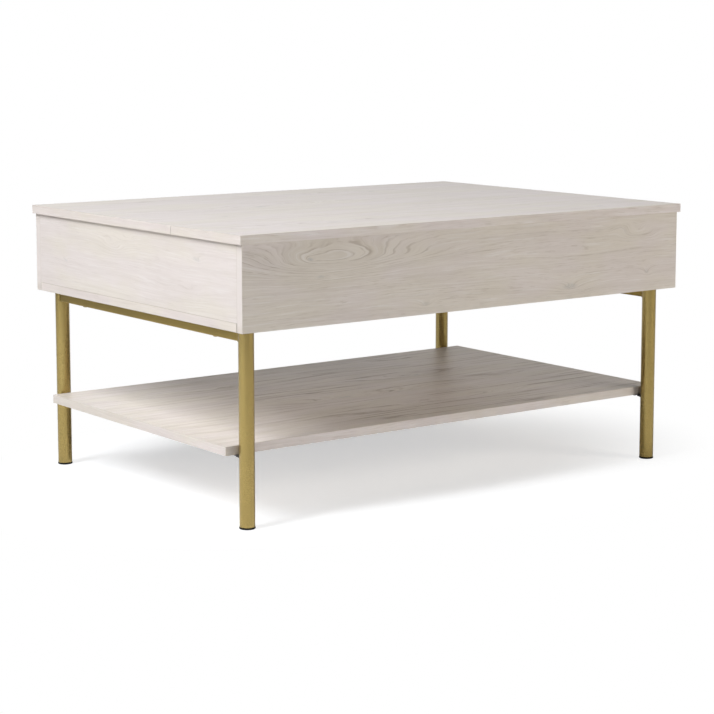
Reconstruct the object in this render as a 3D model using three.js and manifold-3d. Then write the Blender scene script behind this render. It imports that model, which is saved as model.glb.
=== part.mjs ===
// A lift-top coffee table: a laminated case on two tubular leg frames, with a low shelf between the legs.
// The top is split along its length. The narrow strip over the back stays put, and the wide part rises
// level on a pair of four-bar lift mechanisms, up and out towards the user.
//
// Millimetres, +Z up, origin on the floor under the middle of the top. +X runs along the length of the
// table, and +Y points to the user's side, the side the top lifts out to.

import * as THREE from "three";
import { mergeVertices } from "three/addons/utils/BufferGeometryUtils.js";
import Module from "manifold-3d";

const wasm = await Module();
wasm.setup();

// ---------------------------------------------------------------------------------------------------
// Driving dimensions

// Top
const TOP_LENGTH = 965;
const TOP_DEPTH = 687;
const TABLE_HEIGHT = 477;
const TOP_BOARD = 15;
const FIXED_TOP_DEPTH = 206; // back edge to the middle of the seam
const SEAM_GAP = 0.8;
const OVERHANG_SIDE = 5; // top past the case, at each end
const OVERHANG_LONG = 4; // top past the case, at the front and the back
const REVEAL = 0.5; // running gap between the case and the lifting top

// Case
const CASE_HEIGHT = 139.5;
const CASE_BOARD = 15;
const BOTTOM_BOARD = 15;
const BOTTOM_BACK_GAP = 1.5; // the bottom board stops short of the back panel by this much
const STRETCHER_BOARD = 15;
const STRETCHER_HEIGHT = 50;
const STRETCHER_SETBACK = 2; // behind the seam, so that the lifting top never rests on it
const CLEAT_WIDTH = 15;
const CLEAT_HEIGHT = 25;
const CLEAT_END_GAP = 4;

// Leg frames
const LEG_RADIUS = 12.7;
const LEG_WALL = 1.5;
const LEG_CAP = 3;
const LEG_INSET_SIDE = 31; // case side to leg axis
const LEG_INSET_LONG = 36.5; // case front or back to leg axis
const RAIL_SIZE = 19;
const RAIL_WALL = 1.5;
const WELD_GAP = 0.3;

// Foot glides
const GLIDE_HEIGHT = 3;
const GLIDE_LIP = 1; // flange past the leg's surface
const GLIDE_CHAMFER = 1;
const PLUG_LENGTH = 14;
const PLUG_CLEARANCE = 0.3;

// Shelf
const SHELF_TOP = 134; // floor to the shelf's upper face
const SHELF_BOARD = 15;
const SHELF_INSET_SIDE = 0.5; // case side to the shelf's end
const SHELF_LEG_GAP = 2.5; // shelf edge to the legs
const TAB_WIDTH = 24;
const TAB_LENGTH = 34; // past the leg's surface
const TAB_THICKNESS = 3;
const TAB_SCREW_REACH = 20; // leg's surface to the screw

// Screws
const SCREW_CLEARANCE = 0.3;
const SCREW_FACE = 0.6; // flat face, as a share of the head's radius
const SCREW_RIM = 0.45; // straight rim, as a share of the head's height
const SHELF_SCREW = { head: 4.5, headHeight: 2.6, shank: 2, bite: 10 };
const RAIL_SCREW = { head: 5.5, headHeight: 1.5, shank: 2.5, bite: 11 };
const PLATE_SCREW = { head: 4.2, headHeight: 2.2, shank: 2, bite: 11 };
const RAIL_SCREW_INSET = 88; // leg axis to the rail screw beside it

// Pads that the lifting top comes down on
const PAD_RADIUS = 5;
const PAD_HEIGHT = 2;
const PAD_AIR = 0.2;
const PAD_CLEARANCE = 0.2; // around a pad in its pocket
const PAD_FRONT_INSET = 14; // from the inside of the front panel
const PAD_BACK_INSET = 16; // from the seam

// Lift mechanism, in the plane of the case side: y along the depth, z up
const ARM_LENGTH = 200; // pivot to pivot
const ARM_CLOSED = THREE.MathUtils.degToRad(172); // arm's direction when closed, from +Y towards +Z
const LIFT_TURN = THREE.MathUtils.degToRad(110); // the arms turn back through this to open
const FRONT_PIVOT_OFFSET = 125.5; // middle of the lift bay to the front arm's lower pivot
const FRONT_PIVOT_DROP = 45; // underside of the top to the front arm's lower pivot
const PIVOT_STEP_Y = 80; // the rear arm's pivots are behind the front arm's by this
const PIVOT_STEP_Z = 25; // and below them by this
const ARM_HALF_WIDTH = 9;
const ARM_THICKNESS = 4;
const TAIL_LENGTH = 36; // rear arm's lower pivot to the spring's hole
const TAIL_HALF_WIDTH = 5.5;
const SPRING_HOLE_RADIUS = 3;

// Lift mechanism, across the table: distances inwards from the case side's inner face
const PLATE_THICKNESS = 2.5;
const ARM_STANDOFF = 8; // base plate to arm
const BRACKET_STANDOFF = 2.5; // arm to top bracket
const BRACKET_THICKNESS = 2.5;
const BRACKET_FLANGE = 28; // width of the flange under the top
const BRACKET_BACK = 16; // past the rear upper pivot
const BRACKET_FRONT = 18; // past the front upper pivot
const BRACKET_LIP = 10; // below the pivots

// Pivot rivets
const RIVET_RADIUS = 4;
const RIVET_HEAD = 7;
const RIVET_HEAD_HEIGHT = 2.2;
const RUNNING_GAP = 0.3; // beside an arm
const BORE_CLEARANCE = 0.2; // around a rivet

// Base plate
const PLATE_BACK = 26; // behind the rear arm's lower pivot
const PLATE_FRONT = 32; // in front of the front arm's lower pivot
const PLATE_TOP = 25; // above the front arm's lower pivot
const PLATE_BOTTOM = 28; // below the rear arm's lower pivot
const PLATE_CORNER = 8;
const STRAP_HALF_WIDTH = 13.5;
const STRAP_END = 24; // past the spring post
const STOP_REACH = 24; // along the open front arm from its lower pivot
const STOP_LENGTH = 12;
const STOP_THICKNESS = 3;
const STOP_AIR = 0.5;

// Extension spring
const SPRING_OPEN_LENGTH = 130; // post to tail hole with the top up
const COIL_RADIUS = 6; // to the middle of the wire
const WIRE_RADIUS = 1;
const LOOP_RADIUS = 5.5;
const HOOK_SLACK = 1; // tail hole's middle to the middle of the hook's wire
const COIL_TURNS = 14.25;
const COIL_START = 15; // a loop's middle to the first turn
const COIL_POINTS = 10; // of each turn
const POST_LOOP = { from: -230, to: 60, step: 29 }; // degrees round the post
const TAIL_LOOP = { from: 60, to: 330, step: 27 }; // degrees round the tail's hole
const POST_RADIUS = 3.2;
const POST_HEAD = 5;
const POST_HEAD_HEIGHT = 1.8;

// ---------------------------------------------------------------------------------------------------
// Worked-out places

const topHalfX = TOP_LENGTH / 2;
const topHalfY = TOP_DEPTH / 2;
const topUnder = TABLE_HEIGHT - TOP_BOARD;
const seamY = -topHalfY + FIXED_TOP_DEPTH;

const caseHalfX = topHalfX - OVERHANG_SIDE;
const caseHalfY = topHalfY - OVERHANG_LONG;
const caseTop = topUnder - REVEAL;
const caseBottom = caseTop - CASE_HEIGHT;
const caseFloor = caseBottom + BOTTOM_BOARD;
const innerHalfX = caseHalfX - CASE_BOARD;
const innerHalfY = caseHalfY - CASE_BOARD;
const stretcherFront = seamY - STRETCHER_SETBACK;

const legX = caseHalfX - LEG_INSET_SIDE;
const legY = caseHalfY - LEG_INSET_LONG;
const legFace = legY - LEG_RADIUS; // the legs' surface on the side that faces the shelf
const railBottom = caseBottom - RAIL_SIZE;
const railScrewY = legY - RAIL_SCREW_INSET;

const shelfHalfX = caseHalfX - SHELF_INSET_SIDE;
const shelfHalfY = legFace - SHELF_LEG_GAP;
const shelfBottom = SHELF_TOP - SHELF_BOARD;
const tabScrewY = legFace - TAB_SCREW_REACH;

const padPlaces = [
  ["back", seamY + PAD_BACK_INSET],
  ["front", innerHalfY - PAD_FRONT_INSET],
];

const armFace = PLATE_THICKNESS + ARM_STANDOFF;
const armMiddle = armFace + ARM_THICKNESS / 2;
const armInside = armFace + ARM_THICKNESS;
const bracketFace = armInside + BRACKET_STANDOFF;
const bracketInside = bracketFace + BRACKET_THICKNESS;

const bayMiddle = (stretcherFront + innerHalfY) / 2; // between the stretcher and the front panel
const frontPivot = new THREE.Vector2(bayMiddle + FRONT_PIVOT_OFFSET, topUnder - FRONT_PIVOT_DROP);
const rearPivot = new THREE.Vector2(frontPivot.x - PIVOT_STEP_Y, frontPivot.y - PIVOT_STEP_Z);
const armAlong = new THREE.Vector2(Math.cos(ARM_CLOSED), Math.sin(ARM_CLOSED));
const frontUpper = frontPivot.clone().addScaledVector(armAlong, ARM_LENGTH);
const rearUpper = rearPivot.clone().addScaledVector(armAlong, ARM_LENGTH);

// The tail's hole is as far below the pivot when closed as when open, so the spring lies level at both.
const tailClosed = LIFT_TURN / 2 - Math.PI / 2;
const tailHole = new THREE.Vector2(
  rearPivot.x + TAIL_LENGTH * Math.cos(tailClosed),
  rearPivot.y + TAIL_LENGTH * Math.sin(tailClosed),
);
const tailHoleOpenY = 2 * rearPivot.x - tailHole.x;
const post = new THREE.Vector2(tailHoleOpenY - SPRING_OPEN_LENGTH, tailHole.y);

// ---------------------------------------------------------------------------------------------------
// Materials

const finish = (color, roughness, metalness) =>
  new THREE.MeshStandardMaterial({ color: new THREE.Color(...color), roughness, metalness });

const paleOak = finish([0.8, 0.76, 0.73], 0.55, 0);
const brassPaint = finish([0.5, 0.4, 0.19], 0.4, 0.7);
const blackPlastic = finish([0.02, 0.02, 0.02], 0.5, 0);
const blackSteel = finish([0.03, 0.03, 0.035], 0.45, 0.6);
const zincSteel = finish([0.6, 0.6, 0.58], 0.35, 1);
const clearRubber = finish([0.7, 0.7, 0.68], 0.6, 0);

// ---------------------------------------------------------------------------------------------------
// Making solids

const ROUND = 24; // sides of a leg
const SMALL_ROUND = 12; // sides of a screw, rivet or bore
const CORNER_SEGMENTS = 3; // doubled along each arc of an outline
const WIRE_SEGMENTS = 3; // doubled round the wire
const WIRE_STEPS = 9; // along each turn of the coil
const CUT_PAST = 1; // how far a cutter reaches past what it cuts

/** A closed mesh as a solid that can be cut and joined. */
function toSolid(geometry) {
  const bare = geometry.clone();
  for (const name of ["normal", "uv"]) bare.deleteAttribute(name);
  const merged = mergeVertices(bare, 1e-4);
  return new wasm.Manifold(
    new wasm.Mesh({
      numProp: 3,
      vertProperties: merged.attributes.position.array,
      triVerts: new Uint32Array(merged.index.array),
    }),
  );
}

function toGeometry(solid) {
  const mesh = solid.getMesh();
  return new THREE.BufferGeometry()
    .setAttribute("position", new THREE.BufferAttribute(mesh.vertProperties, 3))
    .setIndex(new THREE.BufferAttribute(mesh.triVerts, 1));
}

const cut = (body, cutters) =>
  toGeometry(cutters.reduce((solid, cutter) => solid.subtract(toSolid(cutter)), toSolid(body)));

const join = (...pieces) =>
  toGeometry(pieces.map(toSolid).reduce((solid, piece) => solid.add(piece)));

/** A box between two opposite corners. */
function block([x0, y0, z0], [x1, y1, z1]) {
  return new THREE.BoxGeometry(x1 - x0, y1 - y0, z1 - z0).translate(
    (x0 + x1) / 2,
    (y0 + y1) / 2,
    (z0 + z1) / 2,
  );
}

/** A turned solid from [radius, height] pairs that start and end on the axis, standing along Z. */
function turned(profile, sides = SMALL_ROUND) {
  const points = profile.map(([radius, height]) => new THREE.Vector2(radius, height));
  return new THREE.LatheGeometry(points, sides).rotateX(Math.PI / 2);
}

/** The same, lying along X. */
const turnedX = (profile, sides) => turned(profile, sides).rotateY(Math.PI / 2);

const rod = (radius, z0, z1, sides) =>
  turned([[0, z0], [radius, z0], [radius, z1], [0, z1]], sides);

const rodX = (radius, x0, x1, sides) => rod(radius, x0, x1, sides).rotateY(Math.PI / 2);

/** A flat plate cut to an outline in the y-z plane, from x0 to x1. */
function plate(outline, x0, x1) {
  const flat = new THREE.ExtrudeGeometry(outline, {
    depth: x1 - x0,
    bevelEnabled: false,
    curveSegments: CORNER_SEGMENTS,
  });
  const yz = new THREE.Matrix4().makeBasis(
    new THREE.Vector3(0, 1, 0),
    new THREE.Vector3(0, 0, 1),
    new THREE.Vector3(1, 0, 0),
  );
  return flat.applyMatrix4(yz).translate(x0, 0, 0);
}

/** Outline of a strip with round ends, from the origin to a point at the given distance and angle. */
function stripOutline(length, halfWidth, angle = 0) {
  const outline = new THREE.Shape();
  outline.absarc(0, 0, halfWidth, angle + Math.PI / 2, angle + (3 * Math.PI) / 2);
  outline.absarc(
    length * Math.cos(angle),
    length * Math.sin(angle),
    halfWidth,
    angle - Math.PI / 2,
    angle + Math.PI / 2,
  );
  outline.closePath();
  return outline;
}

/** Outline of a rectangle with round corners. */
function roundedOutline(y0, z0, y1, z1, corner) {
  const outline = new THREE.Shape();
  outline.absarc(y1 - corner, z0 + corner, corner, -Math.PI / 2, 0);
  outline.absarc(y1 - corner, z1 - corner, corner, 0, Math.PI / 2);
  outline.absarc(y0 + corner, z1 - corner, corner, Math.PI / 2, Math.PI);
  outline.absarc(y0 + corner, z0 + corner, corner, Math.PI, (3 * Math.PI) / 2);
  outline.closePath();
  return outline;
}

/** A bore along X at a point of the y-z plane. */
const boreX = (radius, at, x0, x1) =>
  rodX(radius + BORE_CLEARANCE, x0 - CUT_PAST, x1 + CUT_PAST).translate(0, at.x, at.y);

const table = new THREE.Group();

function add(parent, name, geometry, material) {
  const mesh = new THREE.Mesh(geometry, material);
  mesh.name = name;
  parent.add(mesh);
  return mesh;
}

// ---------------------------------------------------------------------------------------------------
// Screws. Each stands along +Z with the underside of its head at z = 0 and its shank pointing up.

function screw({ head, headHeight, shank, bite }, through) {
  const tip = through + bite;
  return turned(
    [
      [0, -headHeight],
      [head * SCREW_FACE, -headHeight],
      [head, -headHeight * SCREW_RIM],
      [head, 0],
      [shank, 0],
      [shank, tip - shank],
      [0, tip],
    ],
  );
}

/** The hole that a screw's shank goes into, from the underside of its head. */
const pilot = ({ shank, bite }, through) =>
  rod(shank + SCREW_CLEARANCE, -CUT_PAST, through + bite + SCREW_CLEARANCE);

/** A screw or pilot that stands along Z, laid along X to point up it (1) or down it (-1). */
const drivenAlongX = (geometry, direction) => geometry.rotateY((direction * Math.PI) / 2);

// ---------------------------------------------------------------------------------------------------
// Case, top and shelf

const sides = [
  ["left", -1],
  ["right", 1],
];
const ends = [
  ["back", -1],
  ["front", 1],
];

function fixedTop() {
  return block([-topHalfX, -topHalfY, topUnder], [topHalfX, seamY - SEAM_GAP / 2, TABLE_HEIGHT]);
}

function liftTop() {
  return block([-topHalfX, seamY + SEAM_GAP / 2, topUnder], [topHalfX, topHalfY, TABLE_HEIGHT]);
}

function longPanel(end) {
  const [inner, outer] = [end * innerHalfY, end * caseHalfY].sort((a, b) => a - b);
  const head = end < 0 ? topUnder : caseTop; // the fixed strip lies on the back panel
  return block([-caseHalfX, inner, caseBottom], [caseHalfX, outer, head]);
}

/** Heights of a pad's foot, in its pocket, and of its face, just under the top. */
const padRise = [topUnder - PAD_AIR - PAD_HEIGHT, topUnder - PAD_AIR];

/** The side panel stands on the bottom board, between the long panels. */
function sidePanel(side) {
  const [inner, outer] = [side * innerHalfX, side * caseHalfX].sort((a, b) => a - b);
  const panel = block([inner, -innerHalfY, caseFloor], [outer, innerHalfY, caseTop]);
  const pilots = plateScrews.map(({ y, z }) =>
    drivenAlongX(pilot(PLATE_SCREW, PLATE_THICKNESS), side).translate(
      side * (innerHalfX - PLATE_THICKNESS),
      y,
      z,
    ),
  );
  const pockets = padPlaces.map(([, y]) =>
    rod(PAD_RADIUS + PAD_CLEARANCE, padRise[0], caseTop + CUT_PAST).translate(
      side * (innerHalfX + CASE_BOARD / 2),
      y,
      0,
    ),
  );
  return cut(panel, [...pilots, ...pockets]);
}

function bottomPanel() {
  const board = block(
    [-caseHalfX, -innerHalfY + BOTTOM_BACK_GAP, caseBottom],
    [caseHalfX, innerHalfY, caseFloor],
  );
  const pilots = sides.flatMap(([, side]) =>
    ends.map(([, end]) =>
      pilot(RAIL_SCREW, RAIL_SIZE).translate(side * legX, end * railScrewY, railBottom),
    ),
  );
  return cut(board, pilots);
}

/** Carries the front edge of the fixed strip across the case. */
function topStretcher() {
  return block(
    [-innerHalfX, stretcherFront - STRETCHER_BOARD, topUnder - STRETCHER_HEIGHT],
    [innerHalfX, stretcherFront, topUnder],
  );
}

/** Carries an end of the fixed strip. */
function topCleat(side) {
  const [x0, x1] = [side * innerHalfX, side * (innerHalfX - CLEAT_WIDTH)].sort((a, b) => a - b);
  return block(
    [x0, -innerHalfY + CLEAT_END_GAP, topUnder - CLEAT_HEIGHT],
    [x1, stretcherFront - STRETCHER_BOARD - CLEAT_END_GAP, topUnder],
  );
}

function shelf() {
  const board = block(
    [-shelfHalfX, -shelfHalfY, shelfBottom],
    [shelfHalfX, shelfHalfY, SHELF_TOP],
  );
  const pilots = sides.flatMap(([, side]) =>
    ends.map(([, end]) =>
      pilot(SHELF_SCREW, TAB_THICKNESS).translate(
        side * legX,
        end * tabScrewY,
        shelfBottom - TAB_THICKNESS,
      ),
    ),
  );
  return cut(board, pilots);
}

// ---------------------------------------------------------------------------------------------------
// Leg frames

/** A tube with a welded cap, from the glide up to the case. */
function leg() {
  const bore = LEG_RADIUS - LEG_WALL;
  return turned(
    [
      [bore, GLIDE_HEIGHT],
      [LEG_RADIUS, GLIDE_HEIGHT],
      [LEG_RADIUS, caseBottom],
      [0, caseBottom],
      [0, caseBottom - LEG_CAP],
      [bore, caseBottom - LEG_CAP],
      [bore, GLIDE_HEIGHT],
    ],
    ROUND,
  );
}

/** Flange under the tube's end, with a plug inside the tube. */
function footGlide() {
  const flange = LEG_RADIUS + GLIDE_LIP;
  const plug = LEG_RADIUS - LEG_WALL - PLUG_CLEARANCE;
  return turned(
    [
      [0, 0],
      [flange - GLIDE_CHAMFER, 0],
      [flange, GLIDE_CHAMFER],
      [flange, GLIDE_HEIGHT],
      [plug, GLIDE_HEIGHT],
      [plug, GLIDE_HEIGHT + PLUG_LENGTH],
      [0, GLIDE_HEIGHT + PLUG_LENGTH],
    ],
    ROUND,
  );
}

/** What is taken off a piece that is welded to a leg, so that it fits the tube. */
const legCope = (z0, z1) => rod(LEG_RADIUS + WELD_GAP, z0, z1, ROUND);

/** Square tube between the two legs of a frame, with its ends coped to them. */
function rail() {
  const half = RAIL_SIZE / 2;
  const bore = half - RAIL_WALL;
  const reach = legY - LEG_RADIUS / 2;
  const outside = block([-half, -reach, railBottom], [half, reach, caseBottom]);
  const middle = railBottom + half;
  const inside = block([-bore, -legY, middle - bore], [bore, legY, middle + bore]);
  const copes = ends.map(([, end]) =>
    legCope(railBottom - CUT_PAST, caseBottom + CUT_PAST).translate(0, end * legY, 0),
  );
  const holes = ends.map(([, end]) =>
    pilot(RAIL_SCREW, RAIL_SIZE).translate(0, end * railScrewY, railBottom),
  );
  return cut(outside, [inside, ...copes, ...holes]);
}

/** Tab welded to the back of a leg, under the shelf. */
function shelfBracket() {
  const under = shelfBottom - TAB_THICKNESS;
  const tab = block(
    [-TAB_WIDTH / 2, -LEG_RADIUS - TAB_LENGTH, under],
    [TAB_WIDTH / 2, -LEG_RADIUS / 2, shelfBottom],
  );
  return cut(tab, [
    legCope(under - CUT_PAST, shelfBottom + CUT_PAST),
    pilot(SHELF_SCREW, TAB_THICKNESS).translate(0, -LEG_RADIUS - TAB_SCREW_REACH, under),
  ]);
}

// ---------------------------------------------------------------------------------------------------
// Lift mechanism. Built for the left side in a group whose +X points inwards from the case side.

const plateScrews = [
  { name: "rear", y: post.x - STRAP_END / 2 - POST_RADIUS, z: post.y },
  { name: "front", y: frontPivot.x + PLATE_FRONT / 2, z: frontPivot.y - PLATE_TOP },
];

/** Folded tab that the open front arm stops against. */
function armStop() {
  const open = ARM_CLOSED - LIFT_TURN;
  const aside = ARM_HALF_WIDTH + STOP_AIR;
  return block(
    [PLATE_THICKNESS / 2, STOP_REACH - STOP_LENGTH / 2, -aside - STOP_THICKNESS],
    [armInside, STOP_REACH + STOP_LENGTH / 2, -aside],
  )
    .rotateX(open)
    .translate(0, frontPivot.x, frontPivot.y);
}

function springPost() {
  const end = armMiddle + WIRE_RADIUS + POST_HEAD_HEIGHT;
  return turnedX([
    [0, PLATE_THICKNESS / 2],
    [POST_RADIUS, PLATE_THICKNESS / 2],
    [POST_RADIUS, end],
    [POST_HEAD, end],
    [POST_HEAD, end + POST_HEAD_HEIGHT],
    [0, end + POST_HEAD_HEIGHT],
  ]).translate(0, post.x, post.y);
}

function basePlate() {
  const body = plate(
    roundedOutline(
      rearPivot.x - PLATE_BACK,
      rearPivot.y - PLATE_BOTTOM,
      frontPivot.x + PLATE_FRONT,
      frontPivot.y + PLATE_TOP,
      PLATE_CORNER,
    ),
    0,
    PLATE_THICKNESS,
  );
  const strap = plate(
    roundedOutline(
      post.x - STRAP_END,
      post.y - STRAP_HALF_WIDTH,
      rearPivot.x,
      post.y + STRAP_HALF_WIDTH,
      PLATE_CORNER,
    ),
    0,
    PLATE_THICKNESS,
  );
  const whole = join(body, strap, springPost(), armStop());
  const screwHoles = plateScrews.map(({ y, z }) =>
    rodX(PLATE_SCREW.shank + SCREW_CLEARANCE, -CUT_PAST, PLATE_THICKNESS + CUT_PAST).translate(
      0,
      y,
      z,
    ),
  );
  const bores = [frontPivot, rearPivot].map((at) => boreX(RIVET_RADIUS, at, 0, PLATE_THICKNESS));
  return cut(whole, [...screwHoles, ...bores]);
}

/** Flat bar with a bore at each end. Its lower pivot is at the origin, and it points along +Y. */
function frontArm() {
  const bar = plate(stripOutline(ARM_LENGTH, ARM_HALF_WIDTH), armFace, armInside);
  return cut(bar, armBores());
}

const armBores = () =>
  [0, ARM_LENGTH].map((y) => boreX(RIVET_RADIUS, new THREE.Vector2(y, 0), armFace, armInside));

/** The same bar with a cranked tail for the spring. */
function rearArm() {
  const bar = plate(stripOutline(ARM_LENGTH, ARM_HALF_WIDTH), armFace, armInside);
  const crank = tailClosed - ARM_CLOSED;
  const tail = plate(stripOutline(TAIL_LENGTH, TAIL_HALF_WIDTH, crank), armFace, armInside);
  const springHole = rodX(
    SPRING_HOLE_RADIUS,
    armFace - CUT_PAST,
    armInside + CUT_PAST,
  ).translate(
    0,
    TAIL_LENGTH * Math.cos(crank),
    TAIL_LENGTH * Math.sin(crank),
  );
  return cut(join(bar, tail), [...armBores(), springHole]);
}

/** Rivet in the base plate: shoulder, journal in the arm, and head on the inside. */
function lowerRivet() {
  const journalEnd = armInside + RUNNING_GAP;
  return turnedX([
    [0, 0],
    [RIVET_RADIUS, 0],
    [RIVET_RADIUS, PLATE_THICKNESS],
    [RIVET_HEAD, PLATE_THICKNESS],
    [RIVET_HEAD, armFace - RUNNING_GAP],
    [RIVET_RADIUS, armFace - RUNNING_GAP],
    [RIVET_RADIUS, journalEnd],
    [RIVET_HEAD, journalEnd],
    [RIVET_HEAD, journalEnd + RIVET_HEAD_HEIGHT],
    [0, journalEnd + RIVET_HEAD_HEIGHT],
  ]);
}

/** Rivet in the top bracket: head on the outside, journal in the arm, shoulder against the bracket. */
function upperRivet() {
  const journalStart = armFace - RUNNING_GAP;
  return turnedX([
    [0, journalStart - RIVET_HEAD_HEIGHT],
    [RIVET_HEAD, journalStart - RIVET_HEAD_HEIGHT],
    [RIVET_HEAD, journalStart],
    [RIVET_RADIUS, journalStart],
    [RIVET_RADIUS, armInside + RUNNING_GAP],
    [RIVET_HEAD, armInside + RUNNING_GAP],
    [RIVET_HEAD, bracketFace],
    [RIVET_RADIUS, bracketFace],
    [RIVET_RADIUS, bracketInside],
    [RIVET_HEAD, bracketInside],
    [RIVET_HEAD, bracketInside + RIVET_HEAD_HEIGHT],
    [0, bracketInside + RIVET_HEAD_HEIGHT],
  ]);
}

/** Angle under the lifting top: a wide flange against the board and a cheek that carries the rivets. */
function topBracket() {
  const back = rearUpper.x - BRACKET_BACK;
  const front = frontUpper.x + BRACKET_FRONT;
  const cheek = new THREE.Shape([
    new THREE.Vector2(back, topUnder),
    new THREE.Vector2(back, rearUpper.y - BRACKET_LIP),
    new THREE.Vector2(rearUpper.x + BRACKET_BACK, rearUpper.y - BRACKET_LIP),
    new THREE.Vector2(front, frontUpper.y - BRACKET_LIP),
    new THREE.Vector2(front, topUnder),
  ]);
  const flange = block(
    [bracketFace, back, topUnder - BRACKET_THICKNESS],
    [bracketFace + BRACKET_FLANGE, front, topUnder],
  );
  const bores = [frontUpper, rearUpper].map((at) =>
    boreX(RIVET_RADIUS, at, bracketFace, bracketInside),
  );
  return cut(join(plate(cheek, bracketFace, bracketInside), flange), bores);
}

/** Wire of the spring: a loop round the post, the coil, and a loop through the tail's hole. */
class SpringWire extends THREE.Curve {
  constructor() {
    super();
    const length = tailHole.x - post.x;
    const postLoop = LOOP_RADIUS - WIRE_RADIUS - POST_RADIUS - RUNNING_GAP;
    const tailLoop = length - LOOP_RADIUS - HOOK_SLACK;
    const coilEnds = [postLoop + COIL_START, tailLoop - COIL_START];
    const points = [];
    for (let turn = POST_LOOP.from; turn <= POST_LOOP.to; turn += POST_LOOP.step) {
      const a = THREE.MathUtils.degToRad(turn);
      points.push([0, postLoop + LOOP_RADIUS * Math.cos(a), LOOP_RADIUS * Math.sin(a)]);
    }
    const steps = Math.round(COIL_TURNS * COIL_POINTS);
    for (let i = 0; i <= steps; i++) {
      const a = (i / steps) * COIL_TURNS * 2 * Math.PI;
      const y = THREE.MathUtils.lerp(...coilEnds, i / steps);
      points.push([COIL_RADIUS * Math.sin(a), y, COIL_RADIUS * Math.cos(a)]);
    }
    for (let turn = TAIL_LOOP.from; turn <= TAIL_LOOP.to; turn += TAIL_LOOP.step) {
      const a = THREE.MathUtils.degToRad(turn);
      points.push([LOOP_RADIUS * Math.sin(a), tailLoop - LOOP_RADIUS * Math.cos(a), 0]);
    }
    this.line = new THREE.CatmullRomCurve3(points.map((p) => new THREE.Vector3(...p)));
    this.arcLengthDivisions = 1000;
  }
  getPoint(t, target) {
    return this.line.getPoint(t, target);
  }
}

function spring() {
  const section = new THREE.Shape().absarc(0, 0, WIRE_RADIUS, 0, 2 * Math.PI);
  return new THREE.ExtrudeGeometry(section, {
    steps: Math.round(COIL_TURNS * WIRE_STEPS),
    curveSegments: WIRE_SEGMENTS,
    extrudePath: new SpringWire(),
  });
}

// ---------------------------------------------------------------------------------------------------
// Assembly

add(table, "fixed_top", fixedTop(), paleOak);
add(table, "lift_top", liftTop(), paleOak);
add(table, "bottom_panel", bottomPanel(), paleOak);
add(table, "top_stretcher", topStretcher(), paleOak);
add(table, "shelf", shelf(), paleOak);
for (const [end, sign] of ends) add(table, `${end}_panel`, longPanel(sign), paleOak);

for (const [side, sign] of sides) {
  add(table, `side_panel_${side}`, sidePanel(sign), paleOak);
  add(table, `top_cleat_${side}`, topCleat(sign), paleOak);

  const frame = new THREE.Group();
  frame.position.x = sign * legX;
  table.add(frame);
  add(frame, `rail_${side}`, rail(), brassPaint);
  for (const [end, endSign] of ends) {
    const corner = new THREE.Group();
    corner.position.y = endSign * legY;
    corner.scale.y = endSign;
    frame.add(corner);
    add(corner, `leg_${end}_${side}`, leg(), brassPaint);
    add(corner, `foot_glide_${end}_${side}`, footGlide(), blackPlastic);
    add(corner, `shelf_bracket_${end}_${side}`, shelfBracket(), brassPaint);
    const shelfScrew = screw(SHELF_SCREW, TAB_THICKNESS);
    add(corner, `shelf_screw_${end}_${side}`, shelfScrew, blackSteel).position.set(
      0,
      tabScrewY - legY,
      shelfBottom - TAB_THICKNESS,
    );
    const railScrew = screw(RAIL_SCREW, RAIL_SIZE);
    add(corner, `rail_screw_${end}_${side}`, railScrew, brassPaint).position.set(
      0,
      -RAIL_SCREW_INSET,
      railBottom,
    );
  }

  const padX = sign * (innerHalfX + CASE_BOARD / 2);
  for (const [end, y] of padPlaces) {
    const pad = rod(PAD_RADIUS, 0, PAD_HEIGHT);
    add(table, `bumper_${end}_${side}`, pad, clearRubber).position.set(padX, y, padRise[0]);
  }

  const lift = new THREE.Group();
  lift.position.x = sign * innerHalfX;
  lift.scale.x = -sign;
  table.add(lift);
  add(lift, `lift_base_plate_${side}`, basePlate(), blackSteel);
  add(lift, `lift_bracket_${side}`, topBracket(), blackSteel);
  const armPlaces = {
    front: [frontArm, frontPivot, frontUpper],
    rear: [rearArm, rearPivot, rearUpper],
  };
  for (const [name, [makeArm, lower, upper]] of Object.entries(armPlaces)) {
    const arm = add(lift, `${name}_arm_${side}`, makeArm(), blackSteel);
    arm.position.set(0, lower.x, lower.y);
    arm.rotation.x = ARM_CLOSED;
    add(lift, `lower_rivet_${name}_${side}`, lowerRivet(), zincSteel).position.set(
      0,
      lower.x,
      lower.y,
    );
    add(lift, `upper_rivet_${name}_${side}`, upperRivet(), zincSteel).position.set(
      0,
      upper.x,
      upper.y,
    );
  }
  add(lift, `lift_spring_${side}`, spring(), zincSteel).position.set(armMiddle, post.x, post.y);
  for (const { name, y, z } of plateScrews) {
    const plateScrew = drivenAlongX(screw(PLATE_SCREW, PLATE_THICKNESS), -1);
    add(lift, `plate_screw_${name}_${side}`, plateScrew, zincSteel).position.set(
      PLATE_THICKNESS,
      y,
      z,
    );
  }
}

export default table;
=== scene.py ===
import math

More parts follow.
